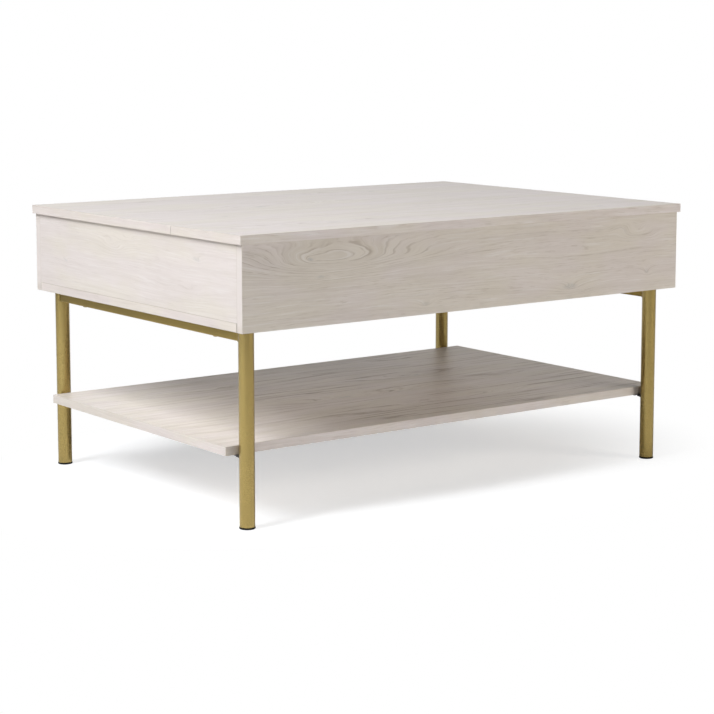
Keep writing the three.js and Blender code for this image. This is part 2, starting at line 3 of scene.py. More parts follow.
import bmesh
import bpy
import numpy as np
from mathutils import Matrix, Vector


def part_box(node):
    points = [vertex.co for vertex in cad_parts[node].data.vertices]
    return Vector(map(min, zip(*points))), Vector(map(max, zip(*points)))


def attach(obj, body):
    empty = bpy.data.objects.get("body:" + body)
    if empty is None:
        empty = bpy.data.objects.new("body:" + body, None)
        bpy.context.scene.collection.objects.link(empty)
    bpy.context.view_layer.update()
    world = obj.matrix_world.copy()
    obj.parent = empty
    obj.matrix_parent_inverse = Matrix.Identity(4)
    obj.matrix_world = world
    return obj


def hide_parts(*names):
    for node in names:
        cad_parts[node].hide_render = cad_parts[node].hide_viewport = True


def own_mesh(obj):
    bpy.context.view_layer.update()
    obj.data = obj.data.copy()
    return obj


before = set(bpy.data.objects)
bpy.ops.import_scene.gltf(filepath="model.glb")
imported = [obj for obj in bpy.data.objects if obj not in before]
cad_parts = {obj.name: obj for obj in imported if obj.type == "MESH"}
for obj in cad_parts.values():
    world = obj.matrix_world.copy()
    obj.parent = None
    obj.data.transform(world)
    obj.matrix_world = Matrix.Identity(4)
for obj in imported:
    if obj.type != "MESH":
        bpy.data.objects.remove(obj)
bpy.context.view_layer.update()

# A lift-top coffee table: a pale oak laminate case and top on brass-painted tube frames, with a low
# shelf between the legs and a pair of spring-helped lift mechanisms inside the case.
#
# Metres, +Z up, the table's length along X. The lifting top opens towards +Y.

MM = 0.001
X, Y, Z = 0, 1, 2
UP, DOWN = (0, 0, 1), (0, 0, -1)
SIDES = {"left": -1, "right": 1}
ENDS = {"back": -1, "front": 1}


def middle(node):
    low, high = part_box(node)
    return (low + high) / 2


def each(what, corners):
    """The names of the pieces of one kind, one at each (end, side)."""
    return [f"{what}_{end}_{side}" for end, side in corners]


def angles(start, stop, steps):
    """Angles in radians, from one number of degrees to another in so many steps."""
    return np.radians(np.linspace(start, stop, steps + 1))


# ---- Words for building node trees

MIX_ONE, MIX_OTHER, MIX_RESULT = 6, 7, 2  # the colour sockets of a Mix node


class Tree:
    """Short words for adding nodes to a tree and joining them."""

    def __init__(self, tree):
        self.tree = tree

    def feed(self, socket, value):
        if isinstance(value, bpy.types.NodeSocket):
            self.tree.links.new(value, socket)
        else:
            socket.default_value = value

    def add(self, kind, inputs=None, **settings):
        node = self.tree.nodes.new(kind)
        for name, value in settings.items():
            setattr(node, name, value)
        for name, value in (inputs or {}).items():
            self.feed(node.inputs[name], value)
        return node

    def fill(self, node, values):
        for socket, value in zip(node.inputs, values):
            self.feed(socket, value)
        return node

    def math(self, operation, *values, clamp=False):
        node = self.add("ShaderNodeMath", operation=operation, use_clamp=clamp)
        return self.fill(node, values).outputs[0]

    def total(self, first, *others):
        for other in others:
            first = self.math("ADD", first, other)
        return first

    def times(self, first, *others, clamp=False):
        """The values multiplied together, the last time with a clamp to 0 and 1 if asked."""
        for left, other in enumerate(others, 1 - len(others)):
            first = self.math("MULTIPLY", first, other, clamp=clamp and left == 0)
        return first

    def vector(self, operation, *values, output="Vector"):
        node = self.add("ShaderNodeVectorMath", operation=operation)
        return self.fill(node, values).outputs[output]

    def combine(self, x=0.0, y=0.0, z=0.0):
        return self.add("ShaderNodeCombineXYZ", {"X": x, "Y": y, "Z": z}).outputs[0]

    def noise(self, place, cell, detail=2.0, roughness=0.5):
        """Cloudy noise whose lumps are cell = (x, y, z) in size."""
        sized = self.vector("MULTIPLY", place, tuple(1 / size for size in cell))
        return self.add(
            "ShaderNodeTexNoise",
            {"Vector": sized, "Scale": 1.0, "Detail": detail, "Roughness": roughness},
        ).outputs["Fac"]

    def wander(self, place, cell, reach, detail=1):
        """Noise that strays by up to half its reach to either side of nought."""
        return self.math("MULTIPLY_ADD", self.noise(place, cell, detail), reach, -reach / 2)

    def spread(self, value, low, high, to_low=0.0, to_high=1.0):
        """The value from low to high, eased, as a share from to_low to to_high."""
        sizes = {"Value": value, "From Min": low, "From Max": high, "To Min": to_low, "To Max": to_high}
        return self.add(
            "ShaderNodeMapRange", sizes, interpolation_type="SMOOTHSTEP"
        ).outputs["Result"]

    def patches(self, place, cell, low, high, *shares, detail=2, roughness=0.5):
        """Noise with the range from low to high spread out to the shares."""
        return self.spread(self.noise(place, cell, detail, roughness), low, high, *shares)

    def stroke(self, value, rise, fall):
        """A line where the value is between its rise and its fall, each a range."""
        return self.times(self.spread(value, *rise), self.spread(value, *fall, 1.0, 0.0))

    def blend(self, share, one, other):
        node = self.add("ShaderNodeMix", {"Factor": share}, data_type="RGBA")
        self.feed(node.inputs[MIX_ONE], one)
        self.feed(node.inputs[MIX_OTHER], other)
        return node.outputs[MIX_RESULT]


def new_group(name, kind, inputs, outputs):
    """A node group whose sockets are given as name: type, with its own inputs by name."""
    group = bpy.data.node_groups.new(name, kind)
    for sockets, way in ((inputs, "INPUT"), (outputs, "OUTPUT")):
        for socket, value in sockets.items():
            group.interface.new_socket(name=socket, in_out=way, socket_type=f"NodeSocket{value}")
    tree = Tree(group)
    return tree, {socket.name: socket for socket in tree.add("NodeGroupInput").outputs}


def end_group(tree, *results):
    tree.fill(tree.add("NodeGroupOutput"), results)
    return tree.tree


def bare_tree(owner):
    """The emptied node tree of a material or world."""
    owner.use_nodes = True
    owner.node_tree.nodes.clear()
    return Tree(owner.node_tree)


def new_material(name):
    material = bpy.data.materials.new(name)
    return material, bare_tree(material)


def end_material(material, tree, bump, **sockets):
    """Every finish is one shader, with a bump and the given sockets."""
    inputs = {socket.replace("_", " "): value for socket, value in sockets.items()}
    inputs["Normal"] = tree.add("ShaderNodeBump", bump).outputs[0]
    shader = tree.add("ShaderNodeBsdfPrincipled", inputs)
    tree.add("ShaderNodeOutputMaterial", {"Surface": shader.outputs[0]})
    return material


# ---- Oak laminate. Places on a board are in millimetres, along and across the grain.

OAK_STRAW = (0.715, 0.660, 0.590, 1)
OAK_ROSE = (0.722, 0.660, 0.625, 1)
OAK_DARK = (0.360, 0.290, 0.225, 1)
OAK_KNOT = (0.360, 0.365, 0.360, 1)
OAK_LIMED = (0.800, 0.765, 0.735, 1)
RING_SPACING = 7.5
BOLD_SPACING = 27
FIGURED_SWELL = 12  # the swell at which every ring shows
OVAL_STRAY = 60


def oak_print():
    """Node group: the printed grain, from a place on the board and how far figure pushes the rings."""
    numbers = ("Along", "Across", "Swell", "Knot", "Sheet", "Depth", "Banding", "Bold", "Crisp")
    tree, given = new_group(
        "oak print", "ShaderNodeTree", {**dict.fromkeys(numbers, "Float"), "Tone": "Vector"},
        {"Color": "Color", "Roughness": "Float", "Height": "Float"},
    )
    along, across, swell, knot, sheet, depth, banding, bold, crisp = [given[n] for n in numbers]

    flat = tree.combine(along, across, sheet)
    ring = tree.total(
        across,
        tree.wander(flat, (420, 110, 1), 22.0),
        tree.wander(flat, (130, 32, 1), 5.0),
        tree.wander(flat, (17, 5, 1), 1.3, detail=2),
        swell,
    )
    followed = tree.combine(along, ring, sheet)

    # Growth rings: thin late-wood lines that end sharply on one side, broken along their length
    uneven = tree.times(tree.noise(followed, (600, 24, 1), 1), 3.0)
    turn = tree.math("FRACT", tree.math("MULTIPLY_ADD", ring, 1 / RING_SPACING, uneven))
    late = tree.stroke(turn, (0.74, 0.95), (0.955, 1.0))
    patchy = tree.patches(flat, (150, 18, 1), 0.50, 0.72, 0.0, 0.6)
    figured = tree.times(tree.math("ABSOLUTE", swell), 1 / FIGURED_SWELL, clamp=True)
    broken = tree.patches(followed, (26, 3, 1), 0.34, 0.60, 0.12, 1.0)
    rings = tree.times(late, tree.math("MAXIMUM", patchy, figured), broken)

    # Bold lines, where the rings crowd together
    crowded = tree.math("FRACT", tree.math("MULTIPLY_ADD", ring, 1 / BOLD_SPACING, uneven))
    heavy = tree.times(
        tree.stroke(crowded, (0.64, 0.84), (0.88, 0.98)),
        tree.patches(followed, (150, 16, 1), 0.40, 0.62, detail=3, roughness=0.6),
    )

    # Short brown flecks, fine fibre, and pale limed streaks, all of which run with the rings
    crowd = tree.patches(flat, (170, 30, 1), 0.36, 0.66, 0.35, 1.0)
    fleck = tree.patches(followed, (34, 1.9, 1), 0.54, 0.70, roughness=0.6)
    fibre = tree.patches(followed, (55, 0.9, 1), 0.30, 0.72, roughness=0.6)
    strand = tree.patches(followed, (120, 4.2, 1), 0.34, 0.68, roughness=0.6)
    band = tree.patches(followed, (330, 11, 1), 0.44, 0.66, roughness=0.6)
    stain = tree.patches(flat, (190, 38, 1), 0.34, 0.68, detail=3, roughness=0.6)
    liming = tree.patches(followed, (80, 3.0, 0.5), 0.50, 0.74)
    tint = tree.patches(flat, (150, 60, 0.7), 0.38, 0.62)
    speck = tree.patches(flat, (4.0, 2.2, 1), 0.30, 0.66, detail=3, roughness=0.7)

    lines = tree.total(tree.times(rings, 0.32), tree.times(fleck, crowd, 0.20))
    fine = tree.total(
        tree.times(lines, crisp), tree.times(fibre, 0.09), tree.times(stain, 0.07),
        tree.times(heavy, bold),
    )
    coarse = tree.total(tree.times(band, 0.09), tree.times(strand, 0.07))
    dark = tree.math("MULTIPLY_ADD", coarse, banding, fine)
    knotted = tree.times(knot, tree.math("MULTIPLY_ADD", speck, 0.7, 0.25), clamp=True)
    wood = tree.blend(tint, OAK_STRAW, OAK_ROSE)
    wood = tree.blend(tree.times(liming, 0.40, crisp, clamp=True), wood, OAK_LIMED)
    wood = tree.blend(tree.times(dark, depth, clamp=True), wood, OAK_DARK)
    wood = tree.blend(knotted, wood, OAK_KNOT)
    wood = tree.vector("MULTIPLY", wood, given["Tone"])
    gloss = tree.math("MULTIPLY_ADD", fibre, 0.07, 0.40)
    relief = tree.math("MULTIPLY_ADD", tree.total(fleck, rings), -0.5, 1.0)
    return end_group(tree, wood, gloss, relief)


OAK_PRINT = oak_print()


def oak(
    name, along, across, sheet, figure=(), knots=(), tone=(1, 1, 1), depth=1.0, banding=1.0,
    bold=0.0, calm=None, crisp=1.0, stray=OVAL_STRAY,
):
    """Laminate with its grain along one axis, and a tone that multiplies its colour.

    The bold lines die away towards the first of the two places along the grain given for the lit end:
    painted light, which pales the grain where the key light falls. The thin lines and the liming stand
    out as far as crisp says, and the ovals stray by up to half of stray.

    Each figure is (along, across, half length, half width, swell) and each knot is
    (along, across, half length, half width, darkness), all in millimetres.
    """
    material, tree = new_material(name)
    place = tree.add("ShaderNodeTexCoord").outputs["Object"]
    in_mm = tree.vector("MULTIPLY", place, (1 / MM,) * 3)
    parts = tree.add("ShaderNodeSeparateXYZ", {"Vector": in_mm})
    u, v = parts.outputs[along], parts.outputs[across]
    lean = tree.noise(tree.combine(u, v, float(sheet)), (80, 24, 1), 1)
    sway = tree.noise(tree.combine(u, v, float(sheet) + 50), (56, 18, 1), 1)
    flat = tree.combine(
        tree.math("MULTIPLY_ADD", lean, stray, tree.math("ADD", u, -stray / 2)),
        tree.math("MULTIPLY_ADD", sway, stray / 5, tree.math("ADD", v, -stray / 10)),
    )
    swell, knot = 0.0, 0.0

    def reach(centre_u, centre_v, half_u, half_v):
        """How far off a place is, where 1 is the rim of the oval."""
        return tree.vector(
            "MULTIPLY_ADD", flat, (1 / half_u, 1 / half_v, 0),
            (-centre_u / half_u, -centre_v / half_v, 0),
        )

    for *oval, push in figure:
        away = reach(*oval)
        square = tree.vector("DOT_PRODUCT", away, away, output="Value")
        fade = tree.math("EXPONENT", tree.times(square, -1.0))
        swell = tree.math("MULTIPLY_ADD", fade, push, swell)
    for *oval, darkness in knots:
        distance = tree.vector("LENGTH", reach(*oval), output="Value")
        knot = tree.math("MAXIMUM", tree.spread(distance, 0.15, 1.0, darkness, 0.0), knot)
        far = tree.math("EXPONENT", tree.times(distance, -0.9))
        swell = tree.math("MULTIPLY_ADD", far, 2.2 * oval[-1], swell)

    printed = tree.add(
        "ShaderNodeGroup",
        {
            "Along": u, "Across": v, "Swell": swell, "Knot": knot, "Sheet": float(sheet),
            "Tone": tone, "Depth": depth, "Banding": banding, "Crisp": crisp,
            # painted light: the bold lines fade between the two places given, towards where the key
            # light falls
            "Bold": tree.spread(u, *calm, 0.12 * bold, bold) if calm else bold,
        },
        node_tree=OAK_PRINT,
    ).outputs
    bump = {"Strength": 0.35, "Distance": 0.05 * MM, "Height": printed["Height"]}
    return end_material(
        material, tree, bump, Base_Color=printed["Color"], Roughness=printed["Roughness"],
        IOR=1.45, Specular_IOR_Level=0.40,
    )


def coated(name, color, metallic, roughness, grain, relief, mottle=0.06, **sockets):
    """A plain coat: a little uneven in tone and gloss, with a fine skin of the given grain."""
    material, tree = new_material(name)
    place = tree.add("ShaderNodeTexCoord").outputs["Object"]
    skin = tree.noise(place, (grain, grain, grain), 2)
    cloud = tree.noise(place, (0.06, 0.06, 0.09), 3)
    darker, lighter = [
        tuple(channel * (1 + way * 2.5 * mottle) for channel in color) + (1,) for way in (-1, 1)
    ]
    gloss = tree.math("MULTIPLY_ADD", tree.total(cloud, skin), 0.12, roughness - 0.12)
    bump = {"Strength": 0.3, "Distance": relief, "Height": skin}
    return end_material(
        material, tree, bump, Base_Color=tree.blend(cloud, darker, lighter), Roughness=gloss,
        Metallic=metallic, **sockets,
    )


BRASS_PAINT = coated(
    "brass paint", (0.462, 0.335, 0.104), 0.85, 0.27, 0.0011, 0.005 * MM,
    Coat_Weight=0.45, Coat_Roughness=0.28,
)
# Painted shade: a darker copy of the brass paint without its coat, for the rails, which sit in the
# case's shadow
SHADED_RAIL_PAINT = coated(
    "brass paint darkened for shade, square tube", (0.395, 0.280, 0.076), 0.90, 0.33, 0.0011, 0.005 * MM
)
BLACK_PLASTIC = coated(
    "black plastic", (0.008, 0.008, 0.008), 0.0, 0.45, 0.0006, 0.03 * MM, Specular_IOR_Level=0.2
)
BLACK_STEEL = coated("black steel", (0.026, 0.026, 0.029), 0.35, 0.42, 0.0009, 0.03 * MM)
ZINC_STEEL = coated("zinc steel", (0.60, 0.60, 0.575), 1.0, 0.32, 0.0016, 0.02 * MM, 0.05)
CLEAR_RUBBER = coated(
    "clear rubber", (0.80, 0.80, 0.78), 0.0, 0.42, 0.002, 0.02 * MM, 0.01, Transmission_Weight=0.5
)
LAMINATE_RIM = coated("laminate rim", (0.600, 0.530, 0.455), 0.0, 0.55, 0.002, 0.02 * MM)
EDGE_BANDS = (
    oak(
        "oak edge band along the length", X, Z, 31,
        figure=[(-260, 470, 190, 6, 5), (150, 468, 160, 5, -4)], tone=(1.025, 1.03, 1.07), crisp=1.5,
    ),
    oak("oak edge band along the depth", Y, Z, 32, tone=(1.008, 0.98, 0.965), depth=0.7),
    oak("oak edge band upright", Z, X, 33, tone=(1.02, 1.0, 0.99), depth=0.7),
)


# ---- Making meshes

# Degrees between two faces below which the edge between them is smooth
SMALL_CURVE, PRESSED_CURVE, BENT_CURVE, WIRE_CURVE = 32, 12, 25, 60


def new_object(name, mesh):
    thing = bpy.data.objects.new(name, mesh)
    bpy.context.scene.collection.objects.link(thing)
    return thing


def mesh_from(name, shape, *finishes):
    """Ends the shaping of a mesh and gives it its finishes."""
    mesh = bpy.data.meshes.new(name)
    shape.to_mesh(mesh)
    shape.free()
    for finish in finishes:
        mesh.materials.append(finish)
    return mesh


def plain_mesh(thing):
    """What an object comes to, as a mesh of its own."""
    bpy.context.view_layer.update()
    return bpy.data.meshes.new_from_object(
        thing.evaluated_get(bpy.context.evaluated_depsgraph_get())
    )


def clean(mesh, smooth_below=None):
    """Merges doubles, turns every face outwards and smooths across edges flatter than an angle."""
    shape = bmesh.new()
    shape.from_mesh(mesh)
    bmesh.ops.remove_doubles(shape, verts=shape.verts, dist=0.002 * MM)
    bmesh.ops.dissolve_degenerate(shape, edges=shape.edges, dist=0.001 * MM)
    bmesh.ops.recalc_face_normals(shape, faces=shape.faces)
    shape.to_mesh(mesh)
    shape.free()
    if smooth_below is not None:
        mesh.shade_smooth()
        mesh.set_sharp_from_angle(angle=math.radians(smooth_below))
    return mesh


def moved(mesh, place):
    """Puts each vertex where place(points) says, as an array of points."""
    points = np.empty(len(mesh.vertices) * 3)
    mesh.vertices.foreach_get("co", points)
    mesh.vertices.foreach_set("co", np.ascontiguousarray(place(points.reshape(-1, 3))).ravel())
    mesh.update()
    return mesh


def skin(shape, rings):
    """Faces between each ring of vertices and the next."""
    for one, other in zip(rings, rings[1:]):
        for i in range(len(one)):
            shape.faces.new((one[i - 1], one[i], other[i], other[i - 1]))


def round_edges(shape, edges, size, segments=2):
    bmesh.ops.bevel(shape, geom=edges, offset=size, segments=segments, profile=0.5, affect="EDGES")


def dress(piece, body, slot, *nodes):
    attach(piece, body)
    if nodes:
        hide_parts(*nodes)
    return piece


def arc(centre, radius, start, stop, steps=12):
    """Points round an arc, the angles in degrees."""
    return [
        (centre[0] + radius * math.cos(a), centre[1] + radius * math.sin(a))
        for a in angles(start, stop, steps)
    ]


def in_metres(outline):
    return [(x * MM, y * MM) for x, y in outline]


def softened(corners, steps=8):
    """An outline from (x, y, radius) corners, given anticlockwise."""
    outline = []
    for i, (x, y, radius) in enumerate(corners):
        corner = Vector((x, y))
        before = (Vector(corners[i - 1][:2]) - corner).normalized()
        after = (Vector(corners[(i + 1) % len(corners)][:2]) - corner).normalized()
        reach = radius / math.tan(before.angle(after) / 2)
        start, stop = corner + before * reach, corner + after * reach
        for step in range(steps + 1):
            share = step / steps
            # a quadratic that leaves and joins the sides along their own lines
            point = (
                start * (1 - share) ** 2 + corner * (2 * share * (1 - share)) + stop * share**2
            )
            outline.append((point.x, point.y))
    return outline


def pressed_plate(name, outline, thickness, holes=(), edge=0.35 * MM):
    """A plate with round-nosed edges, lying on z from 0 to its thickness."""
    curve = bpy.data.curves.new(name, "CURVE")
    curve.dimensions = "2D"
    curve.fill_mode = "BOTH"
    curve.extrude = thickness / 2 - edge
    curve.bevel_depth = edge
    curve.bevel_resolution = 2
    curve.offset = -edge
    for ring in [outline] + [arc(centre, radius, 0, 345, 23) for centre, radius in holes]:
        spline = curve.splines.new("POLY")
        spline.points.add(len(ring) - 1)
        for point, (x, y) in zip(spline.points, ring):
            point.co = (x, y, 0, 1)
        spline.use_cyclic_u = True
    flat = new_object(name, curve)
    mesh = plain_mesh(flat)
    bpy.data.objects.remove(flat)
    bpy.data.curves.remove(curve)
    return moved(mesh, lambda points: points + (0, 0, thickness / 2))


# ---- Geometry nodes for what repeats or follows a path


def shape_tree(name, **sizes):
    """A geometry tree that takes geometry, its sizes by name, and a finish."""
    sizes = {size.replace("_", " "): kind for size, kind in sizes.items()}
    return new_group(
        name, "GeometryNodeTree", {"Geometry": "Geometry", **sizes, "Finish": "Material"},
        {"Geometry": "Geometry"},
    )


def end_tree(tree, given, geometry):
    """Every tree ends in plain geometry with its finish on."""
    plain = tree.add("GeometryNodeRealizeInstances", {"Geometry": geometry}).outputs[0]
    finish = {"Geometry": plain, "Material": given["Finish"]}
    return end_group(tree, tree.add("GeometryNodeSetMaterial", finish).outputs[0])


def turned_solid(tree, given):
    """Nodes that turn a profile of (share of radius, 0, share of length) points round Z."""
    profile = tree.add("GeometryNodeObjectInfo", {"Object": given["Profile"]})
    source = profile.outputs["Geometry"]
    rows = tree.add("GeometryNodeAttributeDomainSize", {"Geometry": source}).outputs[0]
    columns = tree.math("ADD", given["Sides"], 1.0)
    grid = tree.add(
        "GeometryNodeMeshGrid",
        {"Size X": 1.0, "Size Y": 1.0, "Vertices X": columns, "Vertices Y": rows},
    )
    here = tree.add("GeometryNodeInputPosition").outputs[0]
    place = tree.add("ShaderNodeSeparateXYZ", {"Vector": here}).outputs
    angle = tree.times(tree.math("ADD", place[X], 0.5), 2 * math.pi)
    last = tree.math("SUBTRACT", rows, 1.0)
    row = tree.math("ROUND", tree.times(tree.math("ADD", place[Y], 0.5), last))
    sample = tree.add("GeometryNodeSampleIndex", data_type="FLOAT_VECTOR")
    for socket, value in (("Geometry", source), ("Value", here), ("Index", row)):
        tree.feed(sample.inputs[socket], value)
    point = tree.add("ShaderNodeSeparateXYZ", {"Vector": sample.outputs[0]}).outputs
    wide = tree.times(point[X], given["Radius"])
    turned = tree.combine(
        tree.times(wide, tree.math("COSINE", angle)),
        tree.times(wide, tree.math("SINE", angle)),
        tree.times(point[Z], given["Length"]),
    )
    solid = tree.add("GeometryNodeSetPosition", {"Geometry": grid.outputs[0], "Position": turned})
    return tree.add(
        "GeometryNodeMergeByDistance", {"Geometry": solid.outputs[0], "Distance": 1e-6}
    ).outputs[0]


def stood_at_points(tree, given, solid):
    """Nodes that stand a copy of the solid at each place, with its Z along the place's facing."""
    facing = tree.add(
        "GeometryNodeInputNamedAttribute", {"Name": "facing"}, data_type="FLOAT_VECTOR"
    )
    turn = tree.add("FunctionNodeAlignRotationToVector", {"Vector": facing.outputs[0]}, axis="Z")
    return tree.add(
        "GeometryNodeInstanceOnPoints",
        {"Points": given["Geometry"], "Instance": solid, "Rotation": turn.outputs[0]},
    ).outputs[0]


def along_path(tree, path, section, **sockets):
    """Nodes that sweep a section along a curve and close its ends."""
    swept = tree.add(
        "GeometryNodeCurveToMesh", {"Curve": path, "Profile Curve": section, **sockets}
    )
    swept.inputs["Fill Caps"].default_value = True
    return swept.outputs[0]


def turned_tree():
    tree, given = shape_tree(
        "turned fittings", Profile="Object", Radius="Float", Length="Float", Sides="Int"
    )
    solid = turned_solid(tree, given)
    return end_tree(tree, given, stood_at_points(tree, given, solid))


def screw_tree():
    """Pan heads with a cross recess."""
    tree, given = shape_tree(
        "recessed screws", Profile="Object", Radius="Float", Length="Float", Sides="Int",
        Recess_Width="Float", Recess_Depth="Float",
    )
    arm = tree.times(given["Radius"], 1.2)
    deep = tree.times(given["Recess Depth"], 2.0)
    cut = tree.add("GeometryNodeMeshBoolean", operation="DIFFERENCE")
    tree.feed(cut.inputs["Mesh 1"], turned_solid(tree, given))
    for wide, long in ((arm, given["Recess Width"]), (given["Recess Width"], arm)):
        bar = tree.add("GeometryNodeMeshCube", {"Size": tree.combine(wide, long, deep)})
        up = tree.combine(0.0, 0.0, given["Length"])
        raised = tree.add("GeometryNodeTransform", {"Geometry": bar.outputs[0], "Translation": up})
        tree.feed(cut.inputs["Mesh 2"], raised.outputs[0])
    return end_tree(tree, given, stood_at_points(tree, given, cut.outputs[0]))


def wire_tree():
    """Round wire along a path of edges."""
    tree, given = shape_tree("bent wire", Wire_Radius="Float", Wire_Sides="Int")
    path = tree.add("GeometryNodeMeshToCurve", {"Mesh": given["Geometry"]})
    section = tree.add(
        "GeometryNodeCurvePrimitiveCircle",
        {"Resolution": given["Wire Sides"], "Radius": given["Wire Radius"]},
    )
    return end_tree(tree, given, along_path(tree, path.outputs[0], section.outputs[0]))


def bead_tree():
    """A rippled weld bead along a path of edges, with four steps to a ripple."""
    tree, given = shape_tree(
        "weld beads", Bead_Radius="Float", Ripple_Spacing="Float", Ripple="Float"
    )
    path = tree.add("GeometryNodeMeshToCurve", {"Mesh": given["Geometry"]})
    fine = tree.add("GeometryNodeResampleCurve", {"Curve": path.outputs[0]}, mode="LENGTH")
    tree.feed(fine.inputs["Length"], tree.times(given["Ripple Spacing"], 0.25))
    index = tree.add("GeometryNodeInputIndex").outputs[0]
    wave = tree.math("SINE", tree.times(index, math.pi / 2))
    radius = tree.math("MULTIPLY_ADD", wave, given["Ripple"], 1.0)
    section = tree.add(
        "GeometryNodeCurvePrimitiveCircle", {"Resolution": 10, "Radius": given["Bead Radius"]}
    )
    bead = along_path(tree, fine.outputs[0], section.outputs[0], Scale=radius)
    return end_tree(tree, given, bead)


TURNED = turned_tree()
SCREWS = screw_tree()
WIRE = wire_tree()
BEADS = bead_tree()


def grown(name, tree, vertices, edges=(), facing=(), **sizes):
    """Runs a geometry tree on the given points and edges, and keeps the result as a plain piece."""
    start = bpy.data.meshes.new(name)
    start.from_pydata([tuple(v) for v in vertices], [tuple(e) for e in edges], [])
    if len(facing):
        attribute = start.attributes.new("facing", "FLOAT_VECTOR", "POINT")
        attribute.data.foreach_set("vector", np.array(facing, dtype=np.float32).ravel())
    thing = new_object(name, start)
    modifier = thing.modifiers.new("shape", "NODES")
    modifier.node_group = tree
    sockets = {
        item.name: item.identifier
        for item in tree.interface.items_tree
        if item.item_type == "SOCKET" and item.in_out == "INPUT"
    }
    for size, value in sizes.items():
        modifier[sockets[size.replace("_", " ")]] = value
    mesh = plain_mesh(thing)
    bpy.data.objects.remove(thing)
    bpy.data.meshes.remove(start)
    mesh.name = name
    return new_object(name, clean(mesh, SMALL_CURVE))


def turned(name, profile, places, facing, finish, sides=48, tree=TURNED, **sizes):
    """Turned fittings from (radius, height) points, in millimetres, that start and end on the axis."""
    radius = max(r for r, _ in profile)
    length = max(h for _, h in profile)
    outline = bpy.data.meshes.new("profile")
    outline.from_pydata([(r / radius, 0, h / length) for r, h in profile], [], [])
    pattern = new_object("profile", outline)
    piece = grown(
        name, tree, places, facing=facing, Profile=pattern, Radius=radius * MM,
        Length=length * MM, Sides=sides, Finish=finish, **sizes,
    )
    bpy.data.objects.remove(pattern)
    return piece


def dome(radius, base, height, fullness, rise=1.0):
    """The domed end of a turned profile, from its rim to the axis."""
    return [
        (radius * math.cos(a) ** fullness, base + height * math.sin(a) ** rise)
        for a in angles(0, 90, 8)[:-1]
    ] + [(0, base + height)]


# ---- Boards

ARRIS = 0.4 * MM
FINE_ARRIS = 0.25 * MM
BOTTOM_ARRIS = 0.75 * MM
PRINTED, BANDED, RIM = 0, 1, 4  # a board's finishes: its print, three edge bands, its arris


def board(node, body, broad, material, arris=ARRIS):
    """A laminated board: printed faces, a band on each edge, and a fine arris all round."""
    low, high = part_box(node)
    shape = bmesh.new()
    bmesh.ops.create_cube(shape, size=1)
    for vertex in shape.verts:
        vertex.co = Vector(low[i] if vertex.co[i] < 0 else high[i] for i in range(3))
    round_edges(shape, shape.edges, arris)
    for face in shape.faces:
        axis = max(range(3), key=lambda i: abs(face.normal[i]))
        if abs(face.normal[axis]) < 0.999:
            face.material_index = RIM
        elif axis == broad:
            face.material_index = PRINTED
        else:
            face.material_index = BANDED + (X + Y + Z - broad - axis)
    mesh = mesh_from(node, shape, material, *EDGE_BANDS, LAMINATE_RIM)
    return dress(new_object(f"{node}_board", clean(mesh)), body, "pale_oak", node)


def printed_board(node, body, broad, words, sheet, arris=ARRIS, **grain):
    """A board with a print of its own, whose grain runs along the first axis that isn't broad."""
    along, across = [axis for axis in (X, Y, Z) if axis != broad]
    return board(node, body, broad, oak(f"oak of the {words}", along, across, sheet, **grain), arris)


printed_board(
    "back_panel", "case", Y, "back panel", 1,
    figure=[
        (-302, 427, 135, 25, 50), (-130, 425, 100, 10, 8), (370, 431, 34, 15, 12),
        (334, 440, 22, 10, -8), (408, 424, 24, 10, 8), (-60, 362, 170, 12, -7),
        (230, 400, 190, 14, 8),
    ],
    knots=[
        (-326, 401, 9, 4, 0.4), (-112, 340, 14, 5, 0.35), (212, 344, 22, 8, 0.5),
        (402, 358, 8, 6, 0.35), (-345, 430, 8, 4, 0.7),
    ],
    tone=(0.965, 0.970, 0.985), crisp=1.65, stray=25,
)
printed_board(
    "front_panel", "case", Y, "front panel", 2,
    figure=[(140, 402, 120, 18, 48), (-40, 396, 150, 12, 15), (-330, 370, 100, 13, -12)],
    knots=[(150, 402, 11, 5, 0.7), (-300, 431, 9, 4, 0.6), (390, 352, 8, 4, 0.6)], crisp=1.5,
)
printed_board(
    "side_panel_left", "case", X, "left side", 3,
    figure=[(60, 424, 46, 13, 15), (15, 444, 30, 8, 8), (-150, 372, 130, 12, 9)],
    knots=[(-205, 428, 10, 5, 0.3), (230, 388, 7, 4, 0.3)],
    tone=(1.02, 1.0, 0.99), depth=0.75,
)
printed_board(
    "side_panel_right", "case", X, "right side", 4,
    figure=[(-90, 398, 110, 17, 40), (110, 380, 120, 12, 10)],
    knots=[(-84, 398, 9, 5, 0.6), (205, 436, 8, 4, 0.5)], crisp=1.3,
)
printed_board(
    "fixed_top", "case", Z, "fixed top", 5, FINE_ARRIS,
    figure=[(-250, -250, 210, 26, 40), (220, -200, 240, 22, 24)],
    knots=[(-240, -250, 16, 8, 0.5), (60, -180, 9, 5, 0.5), (330, -290, 12, 6, 0.5)],
    tone=(1.025, 1.012, 1.02),
)
printed_board(
    "lift_top", "top", Z, "lifting top", 6, FINE_ARRIS,
    figure=[
        (-180, 60, 240, 34, 60), (190, 220, 260, 30, 50), (230, -40, 200, 26, -26),
        (-310, 260, 160, 24, 26),
    ],
    knots=[
        (-170, 62, 18, 9, 0.7), (200, 222, 14, 7, 0.6), (60, -90, 10, 5, 0.5),
        (-330, -60, 11, 5, 0.5), (380, 90, 9, 5, 0.5), (-20, 290, 10, 5, 0.5),
    ],
    tone=(1.025, 1.012, 1.02),
)
